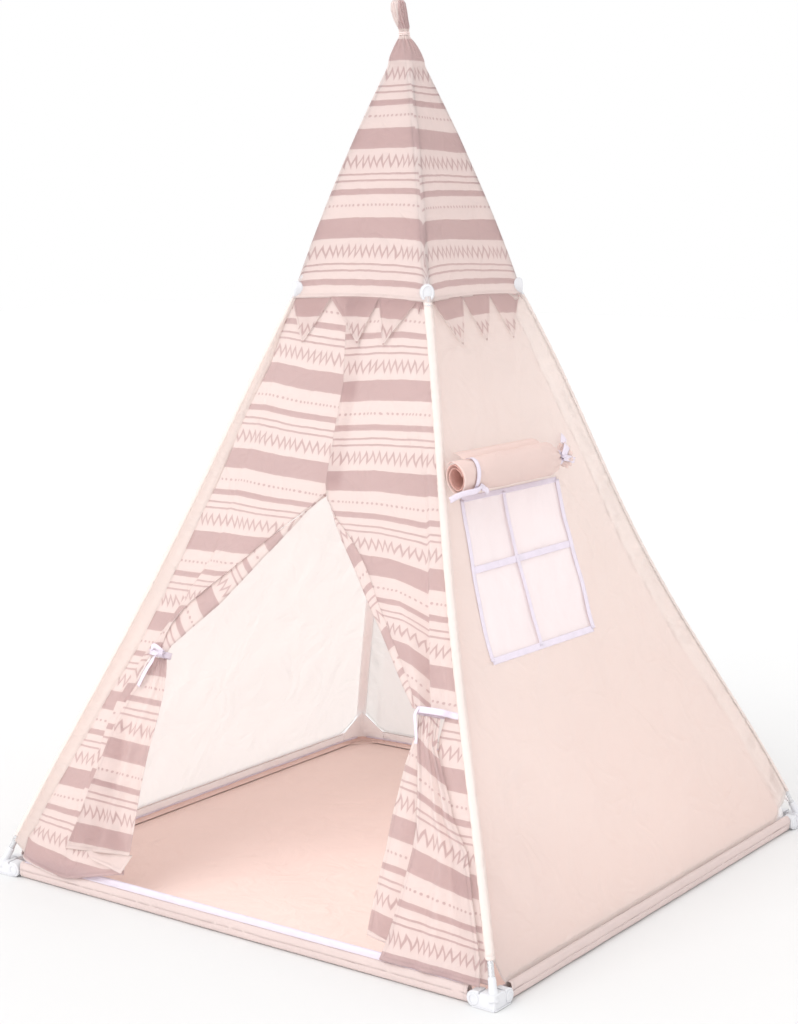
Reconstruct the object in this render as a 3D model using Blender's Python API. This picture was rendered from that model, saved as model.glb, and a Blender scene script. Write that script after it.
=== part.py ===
"""A child's play tent: a steep pyramid of cloth over a frame of thin metal tubes.

Metres, +Z up. The origin is the centre of the ground footprint, the door faces -Y and the
window faces +X. Cloth is modelled as closed sheets, laid in layers on the four leaning faces
that the leg axes span, and every piece that touches another keeps the gap FIT to it.
"""
import math

import bmesh
import bpy
from mathutils import Matrix, Vector

# Gaps and cloth
FIT = 0.0003
FABRIC = 0.0016
SEAM_GAP = 0.0006
LAYER = FABRIC + FIT

# Frame: where the leg axes run
BASE_SIDE = 1.060
MID_SIDE = 0.278
FOOT_HEIGHT = 0.026
MID_HEIGHT = 1.045
PEAK_HEIGHT = 1.481
CAP_BOW = 0.007
LEG_BOWS = {"front_left": 0.007, "front_right": 0.037, "rear_right": 0.019, "rear_left": 0.019}
STRAIGHT_END = 0.045
LOWER_STEPS = 5
UPPER_STEPS = 2

# Tubes and the cloth sleeves around them
TUBE_RADIUS = 0.005
TUBE_WALL = 0.0008
TUBE_SIDES = 10
SLEEVE_WALL = 0.0012
BORE_SIDES = 12
BASE_TUBE_HEIGHT = 0.013
BASE_SLEEVE_BOTTOM = 0.0015
BASE_SLEEVE_HEIGHT = 0.027

# Base connectors
CONNECTOR_ARM = 0.042
CONNECTOR_HALF = 0.0105
CONNECTOR_HEIGHT = 0.026
CONNECTOR_EDGE = 0.002
CONNECTOR_COLLAR_WALL = 0.003
CONNECTOR_COLLAR_TOP = 0.046
CONNECTOR_COLLAR_DEEP = 0.003
CONNECTOR_STOP = 0.010
CONNECTOR_LEG_STOP = 0.0175
BOSS_RADIUS = 0.0085
BOSS_DEPTH = 0.0015
BOSS_PLACE = 0.030
EXPOSED_TUBE = 0.025
CUT_STEP = 0.002

# Mid connectors
KNUCKLE_RADIUS = 0.0125
KNUCKLE_HALF_HEIGHT = 0.0155
MID_SOCKET_WALL = 0.0022
MID_SOCKET_LENGTH = 0.026
MID_STOP = 0.004

# Peak hub
HUB_BOTTOM = 1.398
HUB_TOP = 1.428
HUB_CORE_RADIUS = 0.0135
HUB_WEB = 0.005
HUB_STOP = 0.006
HUB_SOCKET_RADIUS = 0.0065

# Crown: height, radius, lean and squareness of its rings, from the shoulder to the tuft
CROWN_PROFILE = (
    (1.4420, 0.0325, 0.0000, 0.30),
    (1.4600, 0.0235, 0.0005, 0.15),
    (1.4765, 0.0130, 0.0020, 0.00),
    (1.4810, 0.0078, 0.0032, 0.00),
    (1.4930, 0.0078, 0.0032, 0.00),
    (1.5000, 0.0100, 0.0048, 0.00),
    (1.5120, 0.0120, 0.0090, 0.00),
    (1.5280, 0.0135, 0.0124, 0.00),
    (1.5420, 0.0125, 0.0136, 0.00),
    (1.5465, 0.0080, 0.0136, 0.00),
)
NECK_STEP = 3
CROWN_LEAN_TO = Vector((-0.8, -0.6, 0))
TIE_CORD_RADIUS = 0.0013

# Seam between cap and walls, and the pennants below it
SEAM_DROP = 0.0165
SEAM_ARCH = 0.006
PENNANT_DROP = 0.080
PENNANT_COUNT = 3
PENNANT_BAND = 0.004
PENNANT_FLARE = 0.002
PENNANT_STEPS = 4

# Door: plain band on its left edge and two curtains
DOOR_BAND_LOW = 0.046
DOOR_BAND_HIGH = 0.022
CURTAIN_OVERLAP = 0.020
CURTAIN_PART_TOP = -0.014
CURTAIN_PART_LOW = 0.026
CURTAIN_BEHIND = 0.0027
OPENING_TOP = 0.66411 * MID_HEIGHT
HEM_HEIGHT = 0.038
TIE_WIDTH = 0.012
NECK_RISE = 0.0072
RIBBON = 0.0008
BUNDLE_HALF_DEPTH = 0.011
TAIL_SHEET = 0.003
TAIL_FOLD = 0.008
TAIL_GAP = 0.004
TAIL_ROWS = 7
TAIL_SHOULDER = 0.006
TAIL_EDGE = 0.002
LEFT_TIE_HEIGHT = 0.39234 * MID_HEIGHT
LEFT_TIE_IN = -0.22642 * BASE_SIDE
LEFT_TIE_OUT = LEFT_TIE_IN - 0.038
LEFT_TAIL_IN = -0.20943 * BASE_SIDE
LEFT_TAIL_OUT = -0.36604 * BASE_SIDE
LEFT_FOLDS = 2.5
RIGHT_TIE_HEIGHT = 0.37129 * MID_HEIGHT
RIGHT_TIE_IN = 0.27075 * BASE_SIDE
RIGHT_TIE_OUT = RIGHT_TIE_IN + 0.046
RIGHT_TAIL_IN = 0.27925 * BASE_SIDE
RIGHT_TAIL_OUT = 0.47170 * BASE_SIDE
RIGHT_FOLDS = 3.0

# Window and its rolled blind
WINDOW_BOTTOM = 0.43062 * MID_HEIGHT
WINDOW_TOP = 0.67560 * MID_HEIGHT
WINDOW_WIDTH = 0.280
WINDOW_CENTRE = -0.064
WINDOW_LEAN = 0.120
WINDOW_UPRIGHT = -0.017
WINDOW_CROSSBAR = 0.56842 * MID_HEIGHT
WINDOW_MARGIN = 0.008
TAPE_WIDTH = 0.010
PANE = 0.0008
BLIND_LOW = -0.213
BLIND_SHOULDER = 0.060
BLIND_NECK = 0.096
BLIND_HIGH = 0.112
BLIND_NECK_SIZE = 0.42
BLIND_FLARE_SIZE = 0.60
BLIND_HEIGHT = WINDOW_TOP + 0.035
BLIND_HALF_TALL = 0.031
BLIND_HALF_DEEP = 0.023
BLIND_CLOTH = 0.003
BLIND_TAB = 0.010
BLIND_TAB_GAP = 0.0005
BLIND_SIDES = 16
BLIND_TIE_PLACE = -0.155

# Floor
MAT = 0.0018
MAT_BOTTOM = 0.0008
BINDING_WIDTH = 0.012
BINDING = 0.001
BINDING_RISE = 0.0220

CORNERS = {
    "front_left": (-1, -1),
    "front_right": (1, -1),
    "rear_right": (1, 1),
    "rear_left": (-1, 1),
}
QUARTER_TURNS = {"front_right": 0, "rear_right": 1, "rear_left": 2, "front_left": 3}
FACES = {
    "front": ("front_left", "front_right", Vector((1, 0, 0))),
    "right": ("front_right", "rear_right", Vector((0, 1, 0))),
    "rear": ("rear_right", "rear_left", Vector((-1, 0, 0))),
    "left": ("rear_left", "front_left", Vector((0, -1, 0))),
}

# Sizes that follow from the ones above
HALF_SIDE = BASE_SIDE / 2
SLEEVE_RADIUS = (TUBE_RADIUS + FIT + SLEEVE_WALL) / math.cos(math.pi / TUBE_SIDES)
SLEEVE_BORE = (TUBE_RADIUS + FIT) / math.cos(math.pi / TUBE_SIDES)
BORE_RADIUS = (TUBE_RADIUS + FIT) / math.cos(math.pi / BORE_SIDES)
COLLAR_RADIUS = TUBE_RADIUS + FIT + CONNECTOR_COLLAR_WALL
MID_SOCKET_RADIUS = TUBE_RADIUS + FIT + MID_SOCKET_WALL
BASE_SLEEVE_TOP = BASE_SLEEVE_BOTTOM + BASE_SLEEVE_HEIGHT
SLEEVE_FOOT = CONNECTOR_COLLAR_TOP + EXPOSED_TUBE
CORNER_CUT = CONNECTOR_ARM + EXPOSED_TUBE
SEAM_HEIGHT = MID_HEIGHT - SEAM_DROP
BLIND_BACK = FABRIC / 2 + 2 * FIT + 2 * RIBBON


def clear_scene():
    """Remove every object that the scene starts with."""
    for item in list(bpy.data.objects):
        bpy.data.objects.remove(item, do_unlink=True)


def finish(name, colour, roughness, metallic=0.0):
    """A plain material with the piece's own colour."""
    material = bpy.data.materials.new(name)
    material.use_nodes = True
    shader = material.node_tree.nodes["Principled BSDF"]
    shader.inputs["Base Color"].default_value = (*colour, 1.0)
    shader.inputs["Roughness"].default_value = roughness
    shader.inputs["Metallic"].default_value = metallic
    return material


def place(name, mesh, material, sharp_angle=None):
    """Put a mesh in the scene as a named object with its material."""
    mesh.materials.clear()
    mesh.materials.append(material)
    if sharp_angle is not None:
        mesh.shade_smooth()
        mesh.set_sharp_from_angle(angle=sharp_angle)
    item = bpy.data.objects.new(name, mesh)
    bpy.context.scene.collection.objects.link(item)
    return item


def mesh_from(name, corners, faces):
    """A mesh from its corner points and its faces."""
    mesh = bpy.data.meshes.new(name)
    mesh.from_pydata([tuple(point) for point in corners], [], faces)
    mesh.update()
    return mesh


# Leg axes and the faces between them


def lower_half_side(corner, height):
    """Half the side of the square through the lower leg axes, with the leg's bow."""
    along = (height - FOOT_HEIGHT) / (MID_HEIGHT - FOOT_HEIGHT)
    straight = HALF_SIDE + (MID_SIDE / 2 - HALF_SIDE) * along
    start = FOOT_HEIGHT + STRAIGHT_END
    end = MID_HEIGHT - STRAIGHT_END
    share = min(max((height - start) / (end - start), 0.0), 1.0)
    return straight - LEG_BOWS[corner] * math.sin(math.pi * share) ** 2


def upper_half_side(height):
    """Half the side of the square through the upper leg axes."""
    along = (height - MID_HEIGHT) / (PEAK_HEIGHT - MID_HEIGHT)
    return MID_SIDE / 2 * (1 - along) + CAP_BOW * 4 * along * (1 - along)


def steps(first, last, count):
    """Heights from first to last in equal steps, both ends included."""
    return [first + (last - first) * index / count for index in range(count + 1)]


LOWER_HEIGHTS = [FOOT_HEIGHT] + steps(
    FOOT_HEIGHT + STRAIGHT_END, MID_HEIGHT - STRAIGHT_END, LOWER_STEPS) + [MID_HEIGHT]
UPPER_HEIGHTS = steps(MID_HEIGHT + STRAIGHT_END, HUB_BOTTOM - STRAIGHT_END / 3, UPPER_STEPS) + [HUB_TOP]


def leg_line(corner):
    """The points of a whole leg's axis, from its foot to the peak hub."""
    sign_x, sign_y = CORNERS[corner]
    line = []
    for height in LOWER_HEIGHTS:
        half = lower_half_side(corner, height)
        line.append(Vector((sign_x * half, sign_y * half, height)))
    for height in UPPER_HEIGHTS:
        half = upper_half_side(height)
        line.append(Vector((sign_x * half, sign_y * half, height)))
    return line


LEG_LINES = {corner: leg_line(corner) for corner in CORNERS}


def at_height(line, height):
    """The point of a line at a height; the end stretches run on past their ends."""
    for start, end in zip(line, line[1:]):
        if height <= end.z:
            break
    return start.lerp(end, (height - start.z) / (end.z - start.z))


def stretch(line, low, high):
    """The points of a line between two heights, with points at both."""
    inside = [point for point in line if low + FIT < point.z < high - FIT]
    return [at_height(line, low)] + inside + [at_height(line, high)]


def edge_line(corner, inward, distance):
    """A leg's axis moved sideways in the plane of a face by a distance square to the leg."""
    line = LEG_LINES[corner]
    moved = []
    for index, point in enumerate(line):
        before = line[max(index - 1, 0)]
        after = line[min(index + 1, len(line) - 1)]
        direction = (after - before).normalized()
        sideways = (inward - direction * inward.dot(direction)).normalized()
        moved.append(point + sideways * distance)
    return moved


def face_edges(face, height, distance):
    """Where a face's cloth may start and end along the face, clear of its two legs."""
    first, second, along = FACES[face]
    start = at_height(edge_line(first, along, distance), height)
    end = at_height(edge_line(second, -along, distance), height)
    return start.dot(along), end.dot(along)


def ruled_point(face, across, height):
    """The point of the plane-like face between its two leg axes."""
    first, second, along = FACES[face]
    start = at_height(LEG_LINES[first], height)
    end = at_height(LEG_LINES[second], height)
    share = (across - start.dot(along)) / (end - start).dot(along)
    return start.lerp(end, share)


def face_normal(face, across, height):
    """The outward normal of a face."""
    first, second, along = FACES[face]
    reach = 0.004
    rise = ruled_point(face, across, height + reach) - ruled_point(face, across, height - reach)
    run = ruled_point(face, across + reach, height) - ruled_point(face, across - reach, height)
    return run.cross(rise).normalized()


def face_point(face, across, height, offset=0.0):
    """A point at a distance along a face and a height, and an offset outwards from it."""
    return ruled_point(face, across, height) + face_normal(face, across, height) * offset


def seam_height(face, across):
    """The seam between cap and wall, a little higher in the middle of each face."""
    start, end = face_edges(face, SEAM_HEIGHT, 0.0)
    share = min(max((across - start) / (end - start), 0.0), 1.0)
    return SEAM_HEIGHT + SEAM_ARCH * 4 * share * (1 - share)


def leg_clearance(height):
    """How far cloth edges stay from a leg's axis: past the sleeve, socket or knuckle."""
    away = abs(height - MID_HEIGHT)
    if away <= SEAM_DROP + FIT:
        return KNUCKLE_RADIUS + SEAM_GAP
    if away <= MID_SOCKET_LENGTH + FIT:
        return MID_SOCKET_RADIUS + SEAM_GAP
    return SLEEVE_RADIUS + FIT


def cloth_edges(face, height):
    """Where a face's cloth starts and ends along the face at a height."""
    return face_edges(face, height, leg_clearance(height))


# Solids


def sheet_mesh(name, outer, inner, present=None):
    """A closed sheet from two grids of points; rows run upwards, columns along the face."""
    row_count = len(outer) - 1
    column_count = len(outer[0]) - 1
    grids = (outer, inner)
    body = bmesh.new()
    made = {}

    def corner(side, row, column):
        key = (side, row, column)
        if key not in made:
            made[key] = body.verts.new(grids[side][row][column])
        return made[key]

    def filled(row, column):
        if not (0 <= row < row_count and 0 <= column < column_count):
            return False
        return present is None or present(row, column)

    for row in range(row_count):
        for column in range(column_count):
            if not filled(row, column):
                continue
            loop = [(row, column), (row, column + 1), (row + 1, column + 1), (row + 1, column)]
            beside = [(row - 1, column), (row, column + 1), (row + 1, column), (row, column - 1)]
            body.faces.new([corner(0, *spot) for spot in loop])
            body.faces.new([corner(1, *spot) for spot in reversed(loop)])
            for index, neighbour in enumerate(beside):
                if filled(*neighbour):
                    continue
                here = loop[index]
                there = loop[(index + 1) % 4]
                body.faces.new([corner(0, *there), corner(0, *here), corner(1, *here), corner(1, *there)])
    mesh = bpy.data.meshes.new(name)
    body.to_mesh(mesh)
    body.free()
    return mesh


def sheet(name, outer, inner, material, present=None):
    """A closed sheet placed in the scene."""
    return place(name, sheet_mesh(name, outer, inner, present), material)


def sections_mesh(name, sections, hollow=None):
    """A closed solid through rings of points; with hollow rings, a pipe open at both ends."""
    count = len(sections[0])
    last = len(sections) - 1
    corners = [point for ring in sections for point in ring]
    faces = []
    for level in range(last):
        for index in range(count):
            following = (index + 1) % count
            low = level * count
            faces.append((low + index, low + following, low + count + following, low + count + index))
    if hollow is None:
        faces.append(tuple(reversed(range(count))))
        faces.append(tuple(last * count + index for index in range(count)))
        return mesh_from(name, corners, faces)
    base = len(corners)
    corners += [point for ring in hollow for point in ring]
    for level in range(last):
        for index in range(count):
            following = (index + 1) % count
            low = base + level * count
            faces.append((low + following, low + index, low + count + index, low + count + following))
    for index in range(count):
        following = (index + 1) % count
        faces.append((following, index, base + index, base + following))
        top = last * count
        faces.append((top + index, top + following, base + top + following, base + top + index))
    return mesh_from(name, corners, faces)


def round_rings(path, radius, sides):
    """Rings of one radius square to a path."""
    rings = []
    for index, centre in enumerate(path):
        before = path[max(index - 1, 0)]
        after = path[min(index + 1, len(path) - 1)]
        direction = (after - before).normalized()
        level = direction.cross(Vector((0, 0, 1)))
        if level.length < 0.001:
            level = Vector((1, 0, 0))
        level.normalize()
        upright = direction.cross(level)
        ring = []
        for side in range(sides):
            angle = 2 * math.pi * side / sides
            ring.append(centre + level * (radius * math.cos(angle)) + upright * (radius * math.sin(angle)))
        rings.append(ring)
    return rings


def pipe_mesh(name, path, radius, bore, sides=TUBE_SIDES):
    """A pipe along a path."""
    return sections_mesh(name, round_rings(path, radius, sides), round_rings(path, bore, sides))


def rod(path, radius, sides=BORE_SIDES):
    """A round solid along a path, used to build and to cut connectors."""
    return sections_mesh("rod", round_rings(path, radius, sides))


def block(low, high, edge=0.0):
    """A box between two corners, its edges rounded off when edge is given."""
    body = bmesh.new()
    bmesh.ops.create_cube(body, size=1.0)
    size = Vector(high) - Vector(low)
    centre = (Vector(high) + Vector(low)) / 2
    for vert in body.verts:
        vert.co = Vector([vert.co[axis] * size[axis] + centre[axis] for axis in range(3)])
    if edge > 0:
        bmesh.ops.bevel(body, geom=list(body.edges), offset=edge, segments=2, profile=0.5, affect="EDGES")
    mesh = bpy.data.meshes.new("block")
    body.to_mesh(mesh)
    body.free()
    return mesh


def ball(centre, radius, half_height):
    """A ball stretched or flattened upright."""
    body = bmesh.new()
    bmesh.ops.create_uvsphere(body, u_segments=12, v_segments=7, radius=1.0)
    for vert in body.verts:
        vert.co = Vector((vert.co.x * radius, vert.co.y * radius, vert.co.z * half_height)) + Vector(centre)
    mesh = bpy.data.meshes.new("ball")
    body.to_mesh(mesh)
    body.free()
    return mesh


def carved(name, first, joined, cut):
    """One mesh: the first solid joined with others, then cut by others."""
    base = bpy.data.objects.new(name, first)
    bpy.context.scene.collection.objects.link(base)
    helpers = []
    for operation, meshes in (("UNION", joined), ("DIFFERENCE", cut)):
        for mesh in meshes:
            helper = bpy.data.objects.new("helper", mesh)
            helper.hide_render = True
            helper.display_type = "WIRE"
            bpy.context.scene.collection.objects.link(helper)
            helpers.append(helper)
            change = base.modifiers.new(operation.lower(), "BOOLEAN")
            change.operation = operation
            change.solver = "EXACT"
            change.object = helper
    bpy.context.view_layer.update()
    graph = bpy.context.evaluated_depsgraph_get()
    mesh = bpy.data.meshes.new_from_object(base.evaluated_get(graph))
    mesh.name = name
    for helper in helpers + [base]:
        bpy.data.objects.remove(helper, do_unlink=True)
    return mesh


# Frame


def build_base_connectors(plastic):
    """Moulded corner: two level sockets, a leaning collar for the leg, a boss on each outer face."""
    line = LEG_LINES["front_right"]
    foot = Vector((HALF_SIDE, -HALF_SIDE, 0))
    lean = (line[1] - line[0]).normalized()
    root = line[0] - foot

    def on_leg(height):
        return root + lean * ((height - root.z) / lean.z)

    half = CONNECTOR_HALF
    level = BASE_TUBE_HEIGHT
    front_arm = block((-CONNECTOR_ARM, -half, 0), (half, half, CONNECTOR_HEIGHT), CONNECTOR_EDGE)
    right_arm = block((-half, -half, 0), (half, CONNECTOR_ARM, CONNECTOR_HEIGHT), CONNECTOR_EDGE)
    collar_root = CONNECTOR_HEIGHT - CONNECTOR_COLLAR_DEEP
    collar = rod([on_leg(collar_root), on_leg(CONNECTOR_COLLAR_TOP)], COLLAR_RADIUS)
    outer = half + BOSS_DEPTH
    bosses = [
        rod([Vector((-BOSS_PLACE, 0, level)), Vector((-BOSS_PLACE, -outer, level))], BOSS_RADIUS),
        rod([Vector((0, BOSS_PLACE, level)), Vector((outer, BOSS_PLACE, level))], BOSS_RADIUS),
    ]
    past = 2 * CONNECTOR_ARM
    bores = [
        rod([Vector((-CONNECTOR_STOP, 0, level)), Vector((-past, 0, level))], BORE_RADIUS),
        rod([Vector((0, CONNECTOR_STOP, level)), Vector((0, past, level))], BORE_RADIUS),
        rod([on_leg(CONNECTOR_LEG_STOP), on_leg(2 * CONNECTOR_COLLAR_TOP)], BORE_RADIUS),
    ]
    mesh = carved("base_connector", front_arm, [right_arm, collar] + bosses, bores)
    for corner, (sign_x, sign_y) in CORNERS.items():
        item = place(f"base_connector_{corner}", mesh, plastic)
        item.location = (sign_x * HALF_SIDE, sign_y * HALF_SIDE, 0)
        item.rotation_euler = (0, 0, QUARTER_TURNS[corner] * math.pi / 2)
    mesh.shade_smooth()
    mesh.set_sharp_from_angle(angle=math.radians(35))


def build_base_tubes(metal):
    """One straight tube along each side, pushed into the connectors at both ends."""
    for face, (first, second, along) in FACES.items():
        reach = HALF_SIDE - CONNECTOR_STOP - FIT
        outwards = along.cross(Vector((0, 0, 1)))
        middle = outwards * HALF_SIDE + Vector((0, 0, BASE_TUBE_HEIGHT))
        path = [middle - along * reach, middle + along * reach]
        mesh = pipe_mesh(f"base_tube_{face}", path, TUBE_RADIUS, TUBE_RADIUS - TUBE_WALL)
        place(f"base_tube_{face}", mesh, metal, math.radians(50))


def build_leg_tubes(metal):
    """A lower and an upper tube in each corner, meeting in the mid connector."""
    for corner, line in LEG_LINES.items():
        middle = at_height(line, MID_HEIGHT)
        low_end = middle - (middle - line[-2 - len(UPPER_HEIGHTS)]).normalized() * (MID_STOP + FIT)
        high_start = middle + (line[-len(UPPER_HEIGHTS)] - middle).normalized() * (MID_STOP + FIT)
        lower = stretch(line, CONNECTOR_LEG_STOP + FIT, low_end.z)
        upper = stretch(line, high_start.z, HUB_TOP - HUB_STOP - FIT)
        for name, path in (("lower", lower), ("upper", upper)):
            mesh = pipe_mesh(f"{name}_leg_tube_{corner}", path, TUBE_RADIUS, TUBE_RADIUS - TUBE_WALL)
            place(f"{name}_leg_tube_{corner}", mesh, metal, math.radians(50))


def mid_directions():
    """Directions of the lower and the upper leg at the front right mid connector."""
    line = LEG_LINES["front_right"]
    index = len(LOWER_HEIGHTS) - 1
    lower = (line[index] - line[index - 1]).normalized()
    upper = (line[index + 1] - line[index]).normalized()
    return lower, upper


def build_mid_connectors(plastic):
    """Knuckle with a socket below and a socket above, at the angle between the two tubes."""
    lower, upper = mid_directions()
    knuckle = ball((0, 0, 0), KNUCKLE_RADIUS, KNUCKLE_HALF_HEIGHT)
    sockets = [
        rod([lower * -MID_SOCKET_LENGTH, lower * -MID_STOP], MID_SOCKET_RADIUS),
        rod([upper * MID_STOP, upper * MID_SOCKET_LENGTH], MID_SOCKET_RADIUS),
    ]
    bores = [
        rod([lower * (-2 * MID_SOCKET_LENGTH), lower * -MID_STOP], BORE_RADIUS),
        rod([upper * MID_STOP, upper * (2 * MID_SOCKET_LENGTH)], BORE_RADIUS),
    ]
    mesh = carved("mid_connector", knuckle, sockets, bores)
    for corner, (sign_x, sign_y) in CORNERS.items():
        item = place(f"mid_connector_{corner}", mesh, plastic)
        item.location = (sign_x * MID_SIDE / 2, sign_y * MID_SIDE / 2, MID_HEIGHT)
        item.rotation_euler = (0, 0, QUARTER_TURNS[corner] * math.pi / 2)
    mesh.shade_smooth()
    mesh.set_sharp_from_angle(angle=math.radians(35))


def build_peak_hub(plastic):
    """Round core with a web to each of four sockets that take the upper leg tubes."""
    core = rod([Vector((0, 0, HUB_BOTTOM)), Vector((0, 0, HUB_TOP))], HUB_CORE_RADIUS)
    joined = []
    cut = []
    for corner, line in LEG_LINES.items():
        bottom = at_height(line, HUB_BOTTOM)
        top = at_height(line, HUB_TOP)
        joined.append(rod([bottom, top], HUB_SOCKET_RADIUS))
        side = Vector((0, 0, 1)).cross(Vector((top.x, top.y, 0)).normalized()) * (HUB_WEB / 2)
        axis_low = Vector((0, 0, HUB_BOTTOM + HUB_WEB / 2))
        axis_high = Vector((0, 0, HUB_TOP - HUB_WEB / 2))
        out_low = at_height(line, HUB_BOTTOM + HUB_WEB / 2)
        out_high = at_height(line, HUB_TOP - HUB_WEB / 2)
        outline = [axis_low, out_low, out_high, axis_high]
        joined.append(sections_mesh("web", [[p + side for p in outline], [p - side for p in outline]]))
        past = bottom + (bottom - top)
        stop = at_height(line, HUB_TOP - HUB_STOP)
        cut.append(rod([past, stop], BORE_RADIUS))
    mesh = carved("peak_hub", core, joined, cut)
    place("peak_hub", mesh, plastic, math.radians(35))


# Sleeves


def build_leg_sleeves(plain, striped):
    """Cloth sleeves that hold the cover on the legs, open where the connectors sit."""
    lower, upper = mid_directions()
    reach = MID_SOCKET_LENGTH + FIT
    low_end = MID_HEIGHT - lower.z * reach
    high_start = MID_HEIGHT + upper.z * reach
    for corner, line in LEG_LINES.items():
        spans = (
            ("leg_sleeve", SLEEVE_FOOT, low_end, plain),
            ("cap_sleeve", high_start, HUB_BOTTOM - 0.6 * SLEEVE_RADIUS, striped),
        )
        for name, low, high, cloth in spans:
            mesh = pipe_mesh(f"{name}_{corner}", stretch(line, low, high), SLEEVE_RADIUS, SLEEVE_BORE)
            place(f"{name}_{corner}", mesh, cloth, math.radians(50))


def build_base_sleeves(plain):
    """Flattened cloth channels around the base tubes, between the connectors."""
    half_wide = TUBE_RADIUS + FIT
    half_tall = BASE_SLEEVE_HEIGHT / 2 - SLEEVE_WALL
    centre_height = BASE_SLEEVE_BOTTOM + BASE_SLEEVE_HEIGHT / 2

    def channel(place_on_side, wall, outwards, along):
        round_part = half_tall - half_wide
        ring = []
        for side in range(2):
            for step in range(5):
                angle = math.pi * (side + step / 4)
                shift = round_part if side == 0 else -round_part
                wide = (half_wide + wall) * math.cos(angle)
                tall = (half_wide + wall) * math.sin(angle) + shift
                if wall > 0:
                    tall = max(min(tall, half_tall + wall), -half_tall - wall)
                spot = outwards * (HALF_SIDE + wide) + Vector((0, 0, centre_height + tall))
                ring.append(spot + along * place_on_side)
        return ring

    reach = HALF_SIDE - CONNECTOR_ARM - FIT
    for face, (first, second, along) in FACES.items():
        outwards = along.cross(Vector((0, 0, 1)))
        outer = [channel(spot, SLEEVE_WALL, outwards, along) for spot in (reach, -reach)]
        inner = [channel(spot, 0.0, outwards, along) for spot in (reach, -reach)]
        mesh = sections_mesh(f"base_sleeve_{face}", outer, inner)
        place(f"base_sleeve_{face}", mesh, plain, math.radians(50))


# Cap


def cap_heights():
    """Heights at which a cap panel's side edges turn."""
    marks = [MID_HEIGHT + KNUCKLE_HALF_HEIGHT + SEAM_GAP, MID_HEIGHT + MID_SOCKET_LENGTH + FIT]
    turns = [MID_HEIGHT, marks[0], marks[0] + MID_SOCKET_WALL, marks[1], marks[1] + MID_SOCKET_WALL]
    turns += [height for height in UPPER_HEIGHTS if turns[-1] < height < HUB_BOTTOM]
    return turns + [HUB_BOTTOM - SEAM_GAP]


def build_cap(striped):
    """Four striped panels between the cap's sleeves, from the hub down to the seam."""
    columns = 6
    for face in FACES:
        outer = []
        inner = []
        start, end = cloth_edges(face, SEAM_HEIGHT)
        hem = [start + (end - start) * step / columns for step in range(columns + 1)]
        outer.append([face_point(face, spot, seam_height(face, spot), FABRIC / 2) for spot in hem])
        inner.append([face_point(face, spot, seam_height(face, spot), -FABRIC / 2) for spot in hem])
        for height in cap_heights():
            start, end = cloth_edges(face, height)
            spots = [start + (end - start) * step / columns for step in range(columns + 1)]
            outer.append([face_point(face, spot, height, FABRIC / 2) for spot in spots])
            inner.append([face_point(face, spot, height, -FABRIC / 2) for spot in spots])
        sheet(f"cap_panel_{face}", outer, inner, striped)


def hugging_ring(height, half_side, around, flat):
    """A ring that follows the four faces and bulges around the four sockets of the hub."""
    bend = around / math.cos(math.pi / 8)
    start = half_side - 1.7 * around
    ring = []
    for turn in range(4):
        sine = (0, 1, 0, -1)[turn]
        cosine = (1, 0, -1, 0)[turn]
        spots = [(half_side + flat, start)]
        for step in range(-1, 4):
            angle = math.pi / 4 * step
            spots.append((half_side + bend * math.cos(angle), half_side + bend * math.sin(angle)))
        spots.append((start, half_side + flat))
        ring += [Vector((x * cosine - y * sine, x * sine + y * cosine, height)) for x, y in spots]
    return ring


def round_ring(model, height, radius, lean, square):
    """A ring, round or somewhat square, with its points at the bearings of a model ring's."""
    shift = CROWN_LEAN_TO.normalized() * lean
    ring = []
    for point in model:
        outwards = Vector((point.x, point.y, 0)).normalized()
        facing = (outwards.x ** 2 - outwards.y ** 2) ** 2
        ring.append(outwards * (radius * (1 - square * facing)) + shift + Vector((0, 0, height)))
    return ring


def build_crown(striped):
    """The gathered top of the cap: hollow over the hub, then a tied neck with a tuft above it."""
    line = LEG_LINES["rear_right"]
    lean = (line[-1] - line[-2]).normalized()
    inside = HUB_SOCKET_RADIUS / lean.z + FIT
    outside = inside + FABRIC
    outer = []
    inner = []
    for height in (HUB_BOTTOM, HUB_TOP):
        half_side = at_height(line, height).x
        outer.append(hugging_ring(height, half_side, outside, FABRIC / 2))
        inner.append(hugging_ring(height, half_side, inside, -FABRIC / 2))
    model = outer[-1]
    height, radius, shift, square = CROWN_PROFILE[0]
    inner.append(round_ring(model, height - FABRIC, radius - 2 * FABRIC, shift, square))
    for height, radius, shift, square in CROWN_PROFILE:
        outer.append(round_ring(model, height, radius, shift, square))
    count = len(model)
    corners = [point for ring in outer + inner for point in ring]
    base = len(outer) * count
    faces = []
    for first, levels, turned in ((0, len(outer), False), (base, len(inner), True)):
        for level in range(levels - 1):
            for index in range(count):
                following = (index + 1) % count
                low = first + level * count
                face = (low + index, low + following, low + count + following, low + count + index)
                faces.append(tuple(reversed(face)) if turned else face)
    top = (len(outer) - 1) * count
    ceiling = base + (len(inner) - 1) * count
    faces.append(tuple(top + index for index in range(count)))
    faces.append(tuple(ceiling + index for index in reversed(range(count))))
    for index in range(count):
        following = (index + 1) % count
        faces.append((following, index, base + index, base + following))
    place("crown", mesh_from("crown", corners, faces), striped, math.radians(40))


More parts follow.
